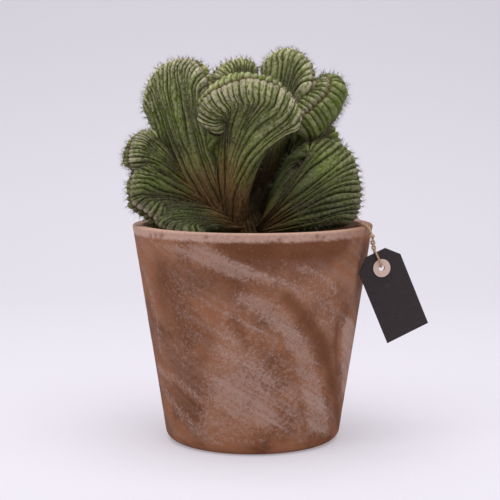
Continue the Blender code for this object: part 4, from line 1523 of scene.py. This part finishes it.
def earth_finish(soil):
    """Dark potting mix with pale grains in it."""
    finish = Finish("potting_mix", {"Roughness": 0.95, "Specular IOR Level": 0.2})
    broad = finish.noise(180, 5, 0.65)
    fine = finish.noise(900, 4, 0.65)
    dark = tuple(part * 0.35 for part in soil.peat)
    tone = finish.blend(finish.band(broad + 0.5 * (fine - 0.5), 0.35, 0.7), dark, soil.peat)
    grains = finish.band(fine, 0.66, 0.72) * finish.band(broad, 0.5, 0.6) * 0.7
    tone = finish.blend(grains, tone, soil.grit)
    return finish.set({"Base Color": tone, "Normal": finish.bump(broad + 0.5 * fine, 0.0015)})


def crumb_tree(finish):
    """A tree that puts a flattened grain, turned any way, on each point."""
    tree = GeometryTree("crumbs", {"Crumb": "NodeSocketFloat"})
    ball = tree.node("GeometryNodeMeshIcoSphere", {}, {"Radius": 1.0, "Subdivisions": 1})
    size = tree.times(tree.given("Crumb"), tree.draw(0.25, 1.0, 2))
    flat = tree.draw_vector((0.6, 0.6, 0.4), (1.2, 1.2, 0.8), 4)
    scale = tree.node("ShaderNodeVectorMath", {"operation": "SCALE"}, {0: flat, "Scale": size})
    turn = tree.draw_vector((-3.1, -3.1, -3.1), (3.1, 3.1, 3.1), 6)
    tree.place_each(tree.given("Geometry"), ball, turn, scale, finish)
    return tree


class CACTUS_OT_soil(bpy.types.Operator):
    """Dresses the soil and strews loose crumbs on it"""

    bl_idname = "cactus.soil"
    bl_label = "Strew the soil"

    def execute(self, context):
        soil = context.scene.cactus_soil
        earth = earth_finish(soil)
        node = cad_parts["soil"]
        node.material_slots[0].material = earth
        draw = random.Random(CRUMB_SEED)
        low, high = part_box("soil")
        reach = (high[0] - low[0]) / 2 - 2 * soil.crumb
        spots = []
        while len(spots) < soil.crumbs:
            away, turn = reach * math.sqrt(draw.random()), draw.uniform(0, 2 * math.pi)
            x, y = away * math.cos(turn), away * math.sin(turn)
            hit, place, _, _ = node.ray_cast((x, y, POT_HEIGHT), (0, 0, -1))
            if hit and place.z > high[2] - CRUMBS_DOWN_TO:
                spots.append((x, y, place.z - CRUMB_SUNK))
        mesh = bpy.data.meshes.new("soil_crumbs")
        mesh.from_pydata(spots, [], [])
        crumbs = new_object("soil_crumbs", mesh)
        crumb_tree(earth).bake(crumbs, {"Crumb": soil.crumb})
        dress(crumbs)
        return {"FINISHED"}


def turned_edges(shape, low=-1, high=181):
    """The edges of a shape where two faces turn by an angle between low and high degrees."""
    both = [e for e in shape.edges if len(e.link_faces) == 2]
    return [e for e in both if math.radians(low) < e.calc_face_angle(0) < math.radians(high)]


def rounded_copy(name, node, rounding, finish):
    """A frame node's shape with its edges rounded, as a piece of its own."""
    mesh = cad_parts[node].data.copy()
    mesh.name = name
    mesh.materials.clear()
    with opened(mesh) as shape:
        bmesh.ops.remove_doubles(shape, verts=shape.verts, dist=0.000001)
        flat = turned_edges(shape, high=FLAT_TURN)
        bmesh.ops.dissolve_edges(shape, edges=flat, use_verts=False)
        sharp = turned_edges(shape, low=ROUNDED_TURN)
        bmesh.ops.bevel(shape, geom=sharp, offset=rounding, segments=3, profile=0.5, affect="EDGES")
        bmesh.ops.triangulate(shape, faces=[f for f in shape.faces if len(f.verts) > 4])
    mesh.shade_smooth()
    mesh.set_sharp_from_angle(angle=math.radians(SHARP_TURN))
    return new_object(name, mesh, finish)


def card_finish(name, tone, edge, roughness):
    """Uncoated card: short fibres in its surface and a paler scuff here and there."""
    finish = Finish(name, {"Specular IOR Level": 0.35})
    fibres = finish.noise(1100, 5, 0.65, 1.2)
    scuffs = finish.noise(70, 4, 0.6)
    worn = finish.blend(finish.band(fibres, 0.3, 0.75) * 0.35, tone, edge)
    worn = finish.blend(finish.band(scuffs, 0.6, 0.78) * 0.25, worn, edge)
    return finish.set(
        {
            "Base Color": worn,
            "Roughness": roughness + 0.15 * (scuffs - 0.5),
            "Normal": finish.bump(fibres, 0.00006),
        }
    )


class CACTUS_OT_tag(bpy.types.Operator):
    """Dresses the card tag and the ring in its hole"""

    bl_idname = "cactus.tag"
    bl_label = "Dress the tag"

    def execute(self, context):
        tag = context.scene.cactus_tag
        card = card_finish("black_card", tag.card, tag.card_core, 0.6)
        ring = card_finish("ring_card", tag.ring, tuple(part * 0.7 for part in tag.ring), 0.75)
        dress(rounded_copy("tag_card", "tag", tag.edge, card), "tag")
        dress(rounded_copy("tag_ring", "eyelet", tag.edge, ring), "eyelet")
        return {"FINISHED"}


def area_light(name, power, size, place):
    """A soft rectangular light that looks at the pot."""
    light = bpy.data.lights.new(name, "AREA")
    light.shape = "RECTANGLE"
    light.size, light.size_y = size
    light.energy = power
    obj = new_object(name, light)
    obj.location = place
    obj.rotation_euler = (Vector(LIT_MIDDLE) - Vector(place)).to_track_quat("-Z", "Y").to_euler()


def sweep_outline():
    """The paper sweep's section (depth, height): the floor, the bend and the upright."""
    bend = np.linspace(0, math.pi / 2, 16)[1:]
    straight = SWEEP_FAR - SWEEP_BEND
    outline = [(SWEEP_NEAR, 0), (straight, 0)]
    outline += [(straight + SWEEP_BEND * math.sin(a), SWEEP_BEND * (1 - math.cos(a))) for a in bend]
    return outline + [(SWEEP_FAR, SWEEP_HEIGHT)]


def paper_finish(stage):
    """Pale paper that gives a little light, with painted shade that darkens it as it rises."""
    paper = Finish("backdrop", {"Roughness": 0.95, "Specular IOR Level": 0.1})
    painted_rise_shade = paper.band(paper.height(), 0.0, 0.5) * stage.far_shade
    lit = paper.blend(painted_rise_shade, stage.paper, (0, 0, 0))
    base = paper.blend(stage.glow, lit, (0, 0, 0))
    return paper.set({"Emission Color": lit, "Emission Strength": stage.glow, "Base Color": base})


class CACTUS_OT_stage(bpy.types.Operator):
    """Sets the pale floor, the soft light and the camera"""

    bl_idname = "cactus.stage"
    bl_label = "Set the stage"

    def execute(self, context):
        stage = context.scene.cactus_stage
        outline = sweep_outline()
        points = np.array([[(x, y, z) for x in (-SWEEP_HALF, SWEEP_HALF)] for y, z in outline])
        mesh = grid_mesh("backdrop", points)
        mesh.shade_smooth()
        new_object("backdrop", mesh, paper_finish(stage))
        for name, (power, size, place) in LIGHTS.items():
            area_light(name, getattr(stage, power), size, place)
        context.scene.view_settings.view_transform = "Standard"
        world = bpy.data.worlds.new("studio")
        world.use_nodes = True
        sky = world.node_tree.nodes["Background"]
        sky.inputs["Color"].default_value = ROOM_TONE
        sky.inputs["Strength"].default_value = ROOM_LIGHT
        context.scene.world = world
        camera = bpy.data.cameras.new("camera")
        camera.sensor_width = SENSOR_WIDTH
        camera.lens = FOCAL_PIXELS / PICTURE_SIZE * SENSOR_WIDTH
        camera.shift_x = -(PICTURE_CENTRE - PICTURE_SIZE / 2) / PICTURE_SIZE
        obj = new_object("camera", camera)
        tilt = Matrix.Rotation(math.pi / 2 - CAMERA_PITCH, 4, "X")
        obj.matrix_world = Matrix.Translation(CAMERA_PLACE) @ tilt
        context.scene.camera = obj
        return {"FINISHED"}


OPERATORS = (
    CACTUS_OT_stage,
    CACTUS_OT_tag,
    CACTUS_OT_twine,
    CACTUS_OT_plant,
    CACTUS_OT_pot,
    CACTUS_OT_soil,
)


class CACTUS_PT_parts(bpy.types.Panel):
    """Lists the pieces of the potted cactus"""

    bl_label = "Potted crested cactus"
    bl_space_type = "VIEW_3D"
    bl_region_type = "UI"
    bl_category = "Cactus"

    def draw(self, context):
        for operator in OPERATORS:
            self.layout.operator(operator.bl_idname)
        for name, group in SETTINGS.items():
            column = self.layout.column()
            for key in group.__annotations__:
                column.prop(getattr(context.scene, name), key)


def register():
    for group in SETTINGS.values():
        bpy.utils.register_class(group)
    for name, group in SETTINGS.items():
        setattr(bpy.types.Scene, name, bpy.props.PointerProperty(type=group))
    for operator in OPERATORS:
        bpy.utils.register_class(operator)
    bpy.utils.register_class(CACTUS_PT_parts)


def unregister():
    bpy.utils.unregister_class(CACTUS_PT_parts)
    for operator in reversed(OPERATORS):
        bpy.utils.unregister_class(operator)
    for name, group in SETTINGS.items():
        delattr(bpy.types.Scene, name)
        bpy.utils.unregister_class(group)


def main():
    register()
    bpy.ops.cactus.stage()
    bpy.ops.cactus.tag()
    bpy.ops.cactus.twine()
    bpy.ops.cactus.plant()
    bpy.ops.cactus.pot()
    bpy.ops.cactus.soil()


if __name__ == "__main__":
    main()
